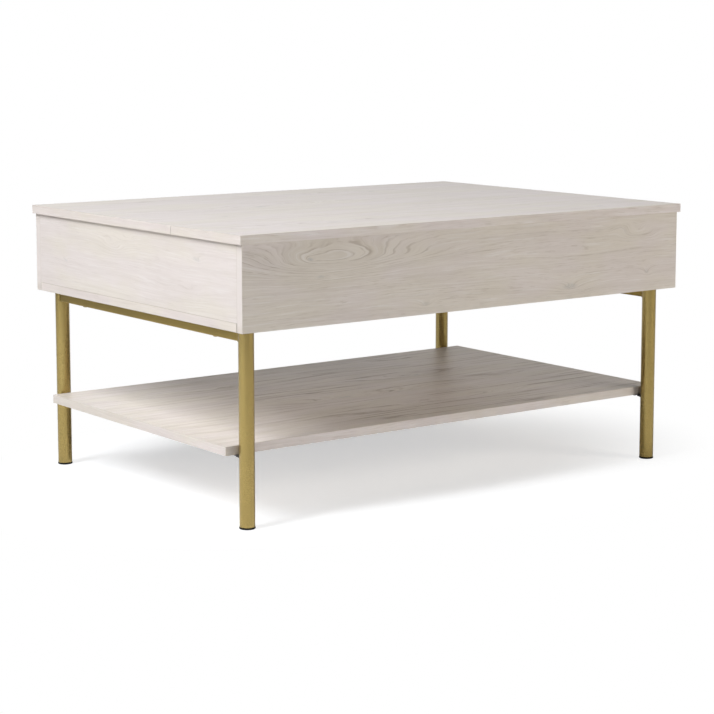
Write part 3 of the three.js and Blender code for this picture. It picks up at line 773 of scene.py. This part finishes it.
printed_board(
    "shelf", "case", Z, "shelf", 7, FINE_ARRIS,
    figure=[
        (-40, -55, 130, 22, 42), (185, 60, 120, 18, 34), (-210, 150, 170, 20, 22),
        (250, -190, 200, 20, 20), (-330, -180, 120, 18, 16), (60, 130, 120, 18, -20),
        (330, -40, 150, 18, 22), (80, -170, 150, 18, 20), (-150, 20, 120, 14, -16),
        (-120, -200, 110, 14, 18), (260, 220, 150, 18, 18),
    ],
    knots=[
        (-70, -48, 13, 6, 0.8), (60, -62, 8, 4, 0.6), (180, 57, 13, 6, 0.7),
        (-150, 95, 7, 4, 0.5), (330, 160, 9, 5, 0.6), (-390, 60, 9, 5, 0.5),
    ],
    # painted light: the bold lines fade towards the shelf's left end, where the key light falls
    tone=(1.085, 1.08, 1.075), depth=1.15, banding=1.7, bold=0.75, calm=(-330, -60), crisp=1.3,
)
printed_board(
    "bottom_panel", "case", Z, "inside", 8, BOTTOM_ARRIS,
    figure=[(-160, 20, 220, 36, 50), (240, 160, 200, 26, 30)],
    knots=[(-150, 22, 14, 7, 0.6), (250, 160, 10, 5, 0.5)],
)
printed_board("top_stretcher", "case", Y, "stretcher", 9, figure=[(90, 440, 160, 10, 16)])
cleat_oak = oak("oak of the cleats", Y, Z, 10)
for side in SIDES:
    board(f"top_cleat_{side}", "case", X, cleat_oak)

# ---- Leg frames

LEG_RADIUS = 12.7
FOOT_RIM, CAP_RIM = 0.8, 0.6  # radii of the rolled rim at the foot and of the welded cap's edge
STRAIGHT_FROM = 6.0  # the tube is plain from here to as far below its head
GLIDE_TOP = 3.0
GLIDE_OVERHANG = 0.6
RAIL_CORNER = 2.2
TUBE_SIDES = 96
leg_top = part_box("leg_back_left")[1].z
case_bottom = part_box("back_panel")[0].z
rail_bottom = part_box("rail_left")[0].z
tab_low, tab_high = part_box("shelf_bracket_back_left")
legs = {(end, side): middle(f"leg_{end}_{side}") for end in ENDS for side in SIDES}


def tube_profile():
    """Half of the leg's outline, with the rolled rim at its foot and the welded cap at its head."""
    height = leg_top / MM - GLIDE_TOP
    rim = arc((LEG_RADIUS - FOOT_RIM, FOOT_RIM), FOOT_RIM, -90, 0, 5)
    cap = arc((LEG_RADIUS - CAP_RIM, height - CAP_RIM), CAP_RIM, 0, 90, 4)
    straight = [(LEG_RADIUS, STRAIGHT_FROM), (LEG_RADIUS, height - STRAIGHT_FROM)]
    return [(0, 0)] + rim + straight + cap + [(0, height)]


for (end, side), place in legs.items():
    foot = (place.x, place.y, GLIDE_TOP * MM)
    leg = turned(f"leg_{end}_{side}_tube", tube_profile(), [foot], [UP], BRASS_PAINT, TUBE_SIDES)
    dress(leg, "case", "brass_paint", f"leg_{end}_{side}")

flange = LEG_RADIUS + GLIDE_OVERHANG
glide = [(0, 0), (flange - 1.3, 0), (flange - 0.8, 0.12), (flange - 0.3, 0.5), (flange, 1.1),
         (flange, 2.4), (flange - 0.15, 2.8), (flange - 0.5, GLIDE_TOP), (0, GLIDE_TOP)]
glides = turned(
    "foot_glides", glide, [(p.x, p.y, 0) for p in legs.values()], [UP] * 4, BLACK_PLASTIC,
    TUBE_SIDES,
)
dress(glides, "case", "black_plastic", *each("foot_glide", legs))


def coped_rail(side):
    """Square tube with soft corners, its ends shaped to the round legs."""
    low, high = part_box(f"rail_{side}")
    centre, half = middle(f"rail_{side}"), (high.x - low.x) / 2
    corners = softened([
        (x * half, z * half, RAIL_CORNER * MM) for x, z in ((-1, -1), (1, -1), (1, 1), (-1, 1))
    ])
    radius = LEG_RADIUS * MM
    shape = bmesh.new()
    rings = []
    for end, direction in (("back", 1), ("front", -1)):
        leg_y = legs[end, side].y
        ring = [
            shape.verts.new(
                (centre.x + x, leg_y + direction * math.sqrt(radius**2 - x**2), centre.z + z)
            )
            for x, z in corners
        ]
        rings.append(ring)
        hub = shape.verts.new((centre.x, leg_y + direction * radius, centre.z))
        for i in range(len(ring)):
            shape.faces.new((ring[i - 1], ring[i], hub))
    skin(shape, rings)
    # painted shade: the rails take the darkened copy of the brass paint
    mesh = mesh_from(f"rail_{side}", shape, SHADED_RAIL_PAINT)
    return new_object(f"rail_{side}_tube", clean(mesh, SMALL_CURVE))


for side in SIDES:
    dress(coped_rail(side), "case", "brass_paint", f"rail_{side}")

# Tabs under the shelf: as wide as the tab at the weld, then a neck, then a round eye for the screw
TAB_EYE, TAB_NECK, TAB_SHOULDER = 9.0, 5.0, 10.0
tab_half = (tab_high.x - tab_low.x) / 2 / MM
hollow = (tab_half + 1, -LEG_RADIUS - TAB_SHOULDER)
hollow_radius = hollow[0] - TAB_NECK
opening = math.degrees(math.asin(TAB_NECK / TAB_EYE))
for (end, side), place in legs.items():
    screw = abs(place.y - middle(f"shelf_screw_{end}_{side}").y) / MM
    outline = [
        (x, -math.sqrt(LEG_RADIUS**2 - x**2)) for x in np.linspace(-tab_half, tab_half, 13)[::-1]
    ]
    outline += arc((-hollow[0], hollow[1]), hollow_radius, 80, 0, 6)
    outline += arc((0, -screw), TAB_EYE, 90 + opening, 450 - opening, 24)
    outline += arc(hollow, hollow_radius, 180, 100, 6)
    name = f"shelf_tab_{end}_{side}"
    mesh = pressed_plate(name, in_metres(outline), tab_high.z - tab_low.z)
    moved(mesh, lambda points: points * (1, ENDS[end], 1) + (place.x, place.y, tab_low.z))
    mesh.materials.append(BLACK_STEEL)
    tab = new_object(name, clean(mesh, PRESSED_CURVE))
    dress(tab, "case", "black_steel", f"shelf_bracket_{end}_{side}")

# Weld beads: round the rail's three free sides, and across each tab's underside
BEAD_RADIUS = 1.5
BEAD_BELOW_CASE = 3.2
WELD_HALF = 9.5
bead_points, bead_edges = [], []
for (end, side), place in legs.items():
    half, bead, radius = WELD_HALF * MM, BEAD_RADIUS * MM, LEG_RADIUS * MM
    high, low = case_bottom - BEAD_BELOW_CASE * MM, rail_bottom + bead
    rail_weld = [(-half, z) for z in np.linspace(high, low, 8)]
    rail_weld += [(x, rail_bottom) for x in np.linspace(-half + bead, half - bead, 9)]
    rail_weld += [(half, z) for z in np.linspace(low, high, 8)]
    tab_weld = [(x, tab_low.z) for x in np.linspace(-half, half, 13)]
    for weld in (rail_weld, tab_weld):
        first = len(bead_points)
        bead_points += [
            (place.x + x, place.y - ENDS[end] * math.sqrt(radius**2 - x**2), z) for x, z in weld
        ]
        bead_edges += [(i, i + 1) for i in range(first, len(bead_points) - 1)]
beads = grown(
    "weld_beads", BEADS, bead_points, bead_edges, Bead_Radius=BEAD_RADIUS * MM,
    Ripple_Spacing=2.2 * MM, Ripple=0.12, Finish=BRASS_PAINT,
)
dress(beads, "case", "brass_paint")

# ---- Screws

BITE = 9.0  # how far a shank reaches under its head
SHANK, RECESS_WIDTH = 0.42, 0.26  # shares of the head's radius
RECESS_DEPTH = 0.62  # share of the head's height


def pan_head(radius, height):
    """Half of a pan-head screw's outline, its head's top at the greatest height."""
    shank = radius * SHANK
    tip = [(0, 0), (shank * 0.3, 0.6), (shank, 3.5), (shank, BITE)]
    return tip + dome(radius, BITE, height, 0.75, 0.9)


def inwards(node):
    return (1, 0, 0) if node.endswith("left") else (-1, 0, 0)


def driven(name, nodes, body, slot, finish, radius, height, facing=None, extra=(), proud=0.0):
    """Screws whose heads stand where the CAD screws' heads do, or proud of them.

    The heads all face one way, or inwards if none is given. There is an extra screw at each
    (point under the head, way that it faces).
    """
    places, ways = [], []
    for node in nodes:
        low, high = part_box(node)
        start, way = middle(node), facing or inwards(node)
        for axis in (X, Y, Z):
            if way[axis]:
                head = high[axis] if way[axis] > 0 else low[axis]
                start[axis] = head + way[axis] * (proud - height - BITE) * MM
        places.append(tuple(start))
        ways.append(way)
    for point, way in extra:
        places.append(tuple(Vector(point) - Vector(way) * BITE * MM))
        ways.append(way)
    screws = turned(
        name, pan_head(radius, height), places, ways, finish, sides=32, tree=SCREWS,
        Recess_Width=radius * RECESS_WIDTH * MM, Recess_Depth=height * RECESS_DEPTH * MM,
    )
    return dress(screws, body, slot, *nodes)


driven(
    "shelf_screws", each("shelf_screw", legs), "case", "black_steel", BLACK_STEEL, 4.5, 2.6, DOWN
)
driven(
    "rail_screws", each("rail_screw", legs), "case", "brass_paint", BRASS_PAINT, 5.5, 2.9, DOWN,
    proud=1.4,
)

# ---- Lift mechanism. Flat work is drawn in the y-z plane; depth is measured inwards from the case side.

ARM_HALF = 9.0
TAIL_HALF = 5.5
BORE, TAIL_BORE = 4.2, 3.0
SHEET_STEEL = 2.5
CLOSED_ARM, TRAVEL = 172, 110  # degrees that the arms lie at when closed, and that they turn
inner_face = abs(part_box("side_panel_left")[1].x)


def pivot(name):
    centre = middle(name)
    return centre.y / MM, centre.z / MM


lower_front, lower_rear = pivot("lower_rivet_front_left"), pivot("lower_rivet_rear_left")
upper_front, upper_rear = pivot("upper_rivet_front_left"), pivot("upper_rivet_rear_left")
spring_low, spring_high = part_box("lift_spring_left")
post = (spring_low.y / MM + 5.5, (spring_low.z + spring_high.z) / 2 / MM)
tail_hole = (spring_high.y / MM, post[1])
ARMS = {"front": (lower_front, upper_front, None), "rear": (lower_rear, upper_rear, tail_hole)}


def across_the_side(mesh, side, depth=0):
    """Stands a flat plate (x, y, thickness in z) up in the y-z plane, at a depth from the case side."""
    return moved(
        mesh,
        lambda points: np.column_stack((
            SIDES[side] * (inner_face - depth * MM - points[:, 2]), points[:, 0], points[:, 1]
        )),
    )


def heading(start, stop):
    """Degrees from the y axis of the way from one point to another."""
    return math.degrees(math.atan2(stop[1] - start[1], stop[0] - start[0]))


def arm_outline(lower, upper, tail):
    """A flat bar between two pivots with round ends, and a cranked tail if it has one."""
    along = heading(lower, upper)
    outline = arc(upper, ARM_HALF, along - 90, along + 90, 24)
    if tail is None:
        return outline + arc(lower, ARM_HALF, along + 90, along + 270, 24)
    back = heading(lower, tail) % 360
    opening = math.degrees(math.asin(TAIL_HALF / ARM_HALF))
    outline += arc(lower, ARM_HALF, along + 90, back - opening, 8)
    outline += arc(tail, TAIL_HALF, back - 90, back + 90, 18)
    return outline + arc(lower, ARM_HALF, back + opening, along + 270, 8)


def make_arm(end, side):
    lower, upper, tail = ARMS[end]
    holes = [(lower, BORE), (upper, BORE)] + ([(tail, TAIL_BORE)] if tail else [])
    low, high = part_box(f"{end}_arm_{side}")
    name = f"{end}_arm_{side}_bar"
    mesh = pressed_plate(
        name, in_metres(arm_outline(lower, upper, tail)), high.x - low.x,
        [(tuple(c * MM for c in centre), radius * MM) for centre, radius in holes],
    )
    across_the_side(mesh, side, inner_face / MM - max(abs(low.x), abs(high.x)) / MM)
    mesh.materials.append(BLACK_STEEL)
    return new_object(name, clean(mesh, PRESSED_CURVE))


def turned_across(profile, side, at):
    """A turned piece lying across the table, from (radius, depth) points."""
    shape = bmesh.new()
    rings = [
        [
            shape.verts.new((radius * math.cos(a) * MM, radius * math.sin(a) * MM, depth * MM))
            for a in np.radians(np.arange(0, 360, 10))
        ]
        for radius, depth in profile
    ]
    skin(shape, rings)
    mesh = mesh_from("turned", shape)
    moved(mesh, lambda points: points + (at[0] * MM, at[1] * MM, 0))
    return clean(across_the_side(mesh, side))


POST_PROFILE = [
    (0, 1.2), (3.2, 1.2), (3.2, 15.3), (4.6, 15.3), (5.0, 15.6), (5.0, 16.7), (4.6, 17.1),
    (0, 17.1),
]
PLATE_BACK, PLATE_FRONT, PLATE_BELOW, PLATE_ABOVE = 26, 32, 28, 25  # from the lower pivots
STRAP_HALF, STRAP_END = 13.5, 24  # half its width, and its reach behind the post
STOP_THICK, STOP_LONG = 3, 12
STOP_ALONG = 24  # from the front pivot to the stop's middle
STOP_DEPTHS = (1.25, 14.5)


def folded_stop(side):
    """The stop that the front arm comes to rest against when it is open."""
    turn = math.radians(CLOSED_ARM - TRAVEL)
    stop = bmesh.new()
    bmesh.ops.create_cube(stop, size=1)
    for vertex in stop.verts:
        along = STOP_ALONG + STOP_LONG * vertex.co.y
        aside = STOP_THICK * (vertex.co.x - 0.5) - ARM_HALF - 0.5
        vertex.co = (
            SIDES[side] * (inner_face - STOP_DEPTHS[vertex.co.z > 0] * MM),
            (lower_front[0] + along * math.cos(turn) - aside * math.sin(turn)) * MM,
            (lower_front[1] + along * math.sin(turn) + aside * math.cos(turn)) * MM,
        )
    bmesh.ops.recalc_face_normals(stop, faces=stop.faces)
    round_edges(stop, stop.edges, 0.5 * MM, 3)
    return mesh_from("stop", stop)


def base_plate(side):
    """Pressed plate on the case side, with the spring's strap and post and the folded stop."""
    back, front = lower_rear[0] - PLATE_BACK, lower_front[0] + PLATE_FRONT
    bottom, top = lower_rear[1] - PLATE_BELOW, lower_front[1] + PLATE_ABOVE
    strap_low, strap_high = post[1] - STRAP_HALF, post[1] + STRAP_HALF
    strap_end, knee = post[0] - STRAP_END, lower_rear[0]
    plate = pressed_plate(
        f"base_{side}",
        in_metres(softened([
            (strap_end, strap_low, 9), (knee, strap_low, 5), (knee + 3, bottom, 3),
            (front, bottom, 8), (front, top, 8), (back, top, 8), (back, strap_high, 4),
            (strap_end, strap_high, 9),
        ])),
        SHEET_STEEL * MM,
    )
    across_the_side(plate, side)
    whole = bmesh.new()
    for mesh in (plate, turned_across(POST_PROFILE, side, post), folded_stop(side)):
        whole.from_mesh(mesh)
    mesh = mesh_from(f"base_plate_{side}", whole, BLACK_STEEL)
    return new_object(f"base_plate_{side}", clean(mesh, BENT_CURVE))


LIP_BELOW, LEVEL_LIP = 10, 16  # how far the cheek reaches below a pivot, and stays level past it
SHARP_BEND = 50  # degrees past which an edge of the bracket is rounded


def top_bracket(side):
    """Pressed angle: a cheek with a sloping lower edge, bent into a flange under the top."""
    low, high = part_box(f"lift_bracket_{side}")
    inner, outer = min(abs(low.x), abs(high.x)), max(abs(low.x), abs(high.x))
    thick, bend, inside_bend = SHEET_STEEL * MM, 2.2 * MM, 0.8 * MM
    rear_lip, front_lip = (upper_rear[1] - LIP_BELOW) * MM, (upper_front[1] - LIP_BELOW) * MM
    level_to = upper_rear[0] * MM + LEVEL_LIP * MM
    stations = [(low.y, rear_lip), (level_to, rear_lip), (high.y, front_lip)]
    shape = bmesh.new()
    rings = []
    for y, lip in stations:
        section = [(outer - thick, lip), (outer, lip)]
        section += arc((outer - bend, high.z - bend), bend, 0, 90, 6)
        section += [(inner, high.z), (inner, high.z - thick)]
        section += arc(
            (outer - thick - inside_bend, high.z - thick - inside_bend), inside_bend, 90, 0, 3
        )
        rings.append([shape.verts.new((SIDES[side] * x, y, z)) for x, z in section])
    skin(shape, rings)
    shape.faces.new(rings[0])
    shape.faces.new(rings[-1])
    bmesh.ops.recalc_face_normals(shape, faces=shape.faces)
    sharp = [
        edge for edge in shape.edges
        if len(edge.link_faces) == 2 and edge.calc_face_angle(0) > math.radians(SHARP_BEND)
    ]
    round_edges(shape, sharp, 0.3 * MM)
    mesh = mesh_from(f"bracket_{side}", shape, BLACK_STEEL)
    return new_object(f"top_bracket_{side}", clean(mesh, BENT_CURVE))


MECHANISM = [(end, side) for end in ("front", "rear") for side in SIDES]
for side in SIDES:
    dress(base_plate(side), "case", "black_steel", f"lift_base_plate_{side}")
    dress(top_bracket(side), "top", "black_steel", f"lift_bracket_{side}")
for end, side in MECHANISM:
    dress(make_arm(end, side), f"{end}_arm_{side}", "black_steel", f"{end}_arm_{side}")


RIVET_HEAD = 2.1


def rivets(which, body, stages):
    """Rivets at the CAD rivets' places, pointing inwards from the case side.

    The stages are (radius, from, to) up the rivet, and a domed head stands on the last of them.
    """
    profile = [(0, stages[0][1])]
    for radius, start, stop in stages:
        profile += [(radius, start), (radius, stop)]
    profile += dome(radius, stop, RIVET_HEAD, 0.6)
    nodes = each(f"{which}_rivet", MECHANISM)
    places = []
    for node in nodes:
        low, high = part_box(node)
        centre = middle(node)
        places.append((low.x if inwards(node)[X] > 0 else high.x, centre.y, centre.z))
    piece = turned(
        f"{which}_rivets", profile, places, [inwards(node) for node in nodes], ZINC_STEEL, 40
    )
    return dress(piece, body, "zinc_steel", *nodes)


rivets("lower", "case", [
    (4.0, 0, 2.5), (6.6, 2.5, 2.5), (7.0, 2.9, 9.8), (6.6, 10.2, 10.2), (4.0, 10.2, 14.8),
    (7.0, 14.8, 14.9),
])
rivets("upper", "top", [
    (6.2, 0, 0), (7.0, 0.7, 2.2), (4.0, 2.2, 6.8), (7.0, 6.8, 9.0), (4.0, 9.0, 11.5),
    (7.0, 11.5, 11.6),
])

# Screws with no CAD twin: (y, z) on the base plate, and in from the bracket's faces
PLATE_SCREWS = ((lower_rear[0] - 16, 430), (lower_front[0] + 20, 428))
FLANGE_DEPTH, FLANGE_END = 34, 14
plate_faces, flange_faces = [], []
for side in SIDES:
    x = SIDES[side] * (inner_face - SHEET_STEEL * MM)
    plate_faces += [((x, y * MM, z * MM), inwards(side)) for y, z in PLATE_SCREWS]
    low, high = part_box(f"lift_bracket_{side}")
    x = SIDES[side] * (inner_face - FLANGE_DEPTH * MM)
    stations = low.y + FLANGE_END * MM, (low.y + high.y) / 2, high.y - FLANGE_END * MM
    flange_faces += [((x, y, high.z - SHEET_STEEL * MM), DOWN) for y in stations]
driven(
    "plate_screws", each("plate_screw", MECHANISM), "case", "zinc_steel", ZINC_STEEL, 4.2, 2.2,
    extra=plate_faces,
)
driven("bracket_screws", [], "top", "zinc_steel", ZINC_STEEL, 3.9, 2.0, extra=flange_faces)

COIL_TURNS, COIL_STEPS = 36, 20
COIL_RADIUS, LOOP_RADIUS, WIRE_RADIUS = 6.0, 5.5, 0.95
POST_SLACK, HOOK_REACH = 1.0, 6.5  # from the post and from the tail's hole to the loops' middles
LOOP_ROOM = 15.0  # between the middle of a loop and the coil


def spring_path():
    """Middle of the wire: a loop round the post, the coil, and a hook through the tail's hole."""
    near, far = post[0] + POST_SLACK, tail_hole[0] - HOOK_REACH
    start, stop = near + LOOP_ROOM, far - LOOP_ROOM
    points = [
        (0, near + LOOP_RADIUS * math.cos(a), LOOP_RADIUS * math.sin(a))
        for a in angles(-235, 52, 25)
    ]
    first = len(points)
    count = COIL_TURNS * COIL_STEPS + COIL_STEPS // 4
    for i in range(count + 1):
        a = i / COIL_STEPS * 2 * math.pi
        y = start + (stop - start) * i / count
        points.append((COIL_RADIUS * math.sin(a), y, COIL_RADIUS * math.cos(a)))
    last = len(points)
    points += [
        (LOOP_RADIUS * math.sin(a), far - LOOP_RADIUS * math.cos(a), 0)
        for a in angles(52, 332, 25)
    ]
    points = [Vector(point) for point in points]
    into, out_of = eased(points, first - 1), eased(points, last - 1)
    return points[:first] + into + points[first:last] + out_of + points[last:]


def eased(points, before, step=1.2):
    """Points that bend the wire gently from one place on it to the next."""
    a, b = points[before], points[before + 1]
    leaving = (a - points[before - 1]).normalized()
    joining = (points[before + 2] - b).normalized()
    span = (b - a).length
    count = max(2, int(span / step))
    between = []
    for i in range(1, count):
        t = i / count
        h1, h2 = 2 * t**3 - 3 * t**2 + 1, -2 * t**3 + 3 * t**2
        h3, h4 = t**3 - 2 * t**2 + t, t**3 - t**2
        between.append(a * h1 + b * h2 + leaving * (h3 * span) + joining * (h4 * span))
    return between


for side in SIDES:
    centre = middle(f"lift_spring_{side}")
    places = [
        (centre.x - SIDES[side] * x * MM, y * MM, post[1] * MM + z * MM)
        for x, y, z in spring_path()
    ]
    spring = grown(
        f"spring_{side}", WIRE, places, [(i, i + 1) for i in range(len(places) - 1)],
        Wire_Radius=WIRE_RADIUS * MM, Wire_Sides=10, Finish=ZINC_STEEL,
    )
    spring.data.set_sharp_from_angle(angle=math.radians(WIRE_CURVE))
    dress(spring, "case", "zinc_steel", f"lift_spring_{side}")
    # 189 mm long when the top is closed, and 130 mm when it is open
    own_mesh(spring)

# Pads that the lifting top comes down on
PAD_RADIUS, PAD_WALL, PAD_CROWN = 5.0, 0.6, 1.4
pads = each("bumper", legs)
bumpers = turned(
    "bumpers", [(0, 0), (PAD_RADIUS, 0)] + dome(PAD_RADIUS, PAD_WALL, PAD_CROWN, 0.5),
    [(middle(node).x, middle(node).y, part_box(node)[0].z) for node in pads], [UP] * 4,
    CLEAR_RUBBER, 40,
)
dress(bumpers, "case", "clear_rubber", *pads)

# ---- Stage, light and camera

FLOOR_WHITE = 0.82
FLOOR_RADIUS = 14
FLOOR_LEVEL = -0.0004  # a hair below the glides
FLOOR_LIFT = 0.465  # white shown over the floor, so that its shadow stays pale
SHADOW_TINT = (0.980, 0.998, 1.025, 1)  # evens out the warm fill in that shadow
FLOOR_FADE = (0.55, 1.15)  # and it fades to plain white across this much of an oval,
FLOOR_OVAL = (0.68, 0.48)  # whose halves are so many metres long and deep
SWEEP_RADIUS, SWEEP_HEIGHT = 3.2, 2.4
SWEEP_FROM, SWEEP_TO = -1.7, 108.3  # degrees round the table, on the side away from the camera
SWEEP_WHITE = 1.0
SKY = 0.07
SKY_COLOR = (1.0, 0.985, 0.965, 1)
KEY_POWER, KEY_COLOR = 161.0, (0.962, 1.0, 1.045)
FILL_POWER, FILL_COLOR = 75.0, (1.065, 1.0, 0.90)
BEHIND_POWER = 40.0
CAMERA_PLACE = (-2.1704, -2.9078, 0.7912)
CAMERA_TILT, CAMERA_TURN = 82.713, -36.721
CAMERA_LENS, CAMERA_SHIFT = 100.46, -0.10


def seen_straight(tree):
    """1 for what the camera sees, straight or through something clear."""
    path = tree.add("ShaderNodeLightPath").outputs
    return tree.math("MAXIMUM", path["Is Camera Ray"], path["Is Transmission Ray"])


def mixed(tree, kind, one, other, share=None):
    """Two shaders added together, or mixed by a share."""
    node = tree.add(kind, {} if share is None else {"Fac": share})
    for socket, shader in zip(node.inputs[-2:], (one, other)):
        tree.feed(socket, shader.outputs[0])
    return node


def make_floor():
    """White paper. The lift and the fade are only for the camera; the table is lit by plain white."""
    shape = bmesh.new()
    bmesh.ops.create_circle(shape, cap_ends=True, segments=96, radius=FLOOR_RADIUS)
    for vertex in shape.verts:
        vertex.co.z = FLOOR_LEVEL
    material, tree = new_material("white floor")
    seen = seen_straight(tree)
    place = tree.add("ShaderNodeTexCoord").outputs["Object"]
    oval = tree.vector("MULTIPLY", place, (1 / FLOOR_OVAL[0], 1 / FLOOR_OVAL[1], 0))
    far = tree.spread(tree.vector("LENGTH", oval, output="Value"), *FLOOR_FADE)
    paper = tree.add("ShaderNodeBsdfDiffuse", {"Color": (FLOOR_WHITE,) * 3 + (1,)})
    lift = tree.add(
        "ShaderNodeEmission", {"Color": SHADOW_TINT, "Strength": tree.times(seen, FLOOR_LIFT)}
    )
    white = tree.add("ShaderNodeEmission", {"Strength": 1.0})
    near = mixed(tree, "ShaderNodeAddShader", paper, lift)
    surface = mixed(tree, "ShaderNodeMixShader", near, white, tree.times(far, seen))
    tree.add("ShaderNodeOutputMaterial", {"Surface": surface.outputs[0]})
    return new_object("floor", mesh_from("floor", shape, material))


make_floor()


def make_sweep():
    """White paper curved round behind the table. It shows only in what shines."""
    foot = [
        (SWEEP_RADIUS * math.cos(a), SWEEP_RADIUS * math.sin(a), 0)
        for a in angles(SWEEP_FROM, SWEEP_TO, 48)
    ]
    head = [(x, y, SWEEP_HEIGHT) for x, y, _ in foot]
    count = len(foot)
    faces = [(i + 1, i, count + i, count + i + 1) for i in range(count - 1)]
    mesh = bpy.data.meshes.new("sweep")
    mesh.from_pydata(foot + head, [], faces)
    material, tree = new_material("white paper")
    glow = tree.add("ShaderNodeEmission", {"Strength": SWEEP_WHITE})
    tree.add("ShaderNodeOutputMaterial", {"Surface": glow.outputs[0]})
    mesh.materials.append(material)
    sweep = new_object("sweep", mesh)
    sweep.visible_camera = sweep.visible_diffuse = sweep.visible_shadow = False
    return sweep


make_sweep()

world = bpy.data.worlds.new("studio")
bpy.context.scene.world = world
studio = bare_tree(world)
light = studio.add("ShaderNodeBackground", {"Color": SKY_COLOR, "Strength": SKY})
white = studio.add("ShaderNodeBackground", {"Color": (1, 1, 1, 1), "Strength": 1.0})
both = mixed(studio, "ShaderNodeMixShader", light, white, seen_straight(studio))
studio.add("ShaderNodeOutputWorld", {"Surface": both.outputs[0]})


def soft_light(name, place, aim, width, height, power, color=(1, 1, 1)):
    lamp = bpy.data.lights.new(name, "AREA")
    lamp.shape = "RECTANGLE"
    lamp.size, lamp.size_y = width, height
    lamp.energy = power
    lamp.color = color
    thing = new_object(name, lamp)
    thing.location = place
    thing.rotation_euler = (Vector(aim) - Vector(place)).to_track_quat("-Z", "Y").to_euler()
    return thing


soft_light("key", (-2.6, -0.3, 3.1), (0, 0, 0.25), 1.0, 2.4, KEY_POWER, KEY_COLOR)
fill = soft_light("fill", (2.2, -3.6, 1.4), (0.2, 0, 0.3), 2.0, 1.6, FILL_POWER, FILL_COLOR)
low = soft_light("low fill behind", (1.7, 3.4, 0.42), (0, 0, 0.34), 2.4, 0.8, BEHIND_POWER)
fill.visible_glossy = low.visible_glossy = False

camera = bpy.data.cameras.new("camera")
camera.sensor_width = 36
camera.lens = CAMERA_LENS
camera.shift_y = CAMERA_SHIFT
camera.clip_end = 100
viewer = new_object("camera", camera)
viewer.location = CAMERA_PLACE
viewer.rotation_euler = (math.radians(CAMERA_TILT), 0, math.radians(CAMERA_TURN))
bpy.context.scene.camera = viewer
bpy.context.scene.view_settings.view_transform = "Standard"

bpy.context.view_layer.update()
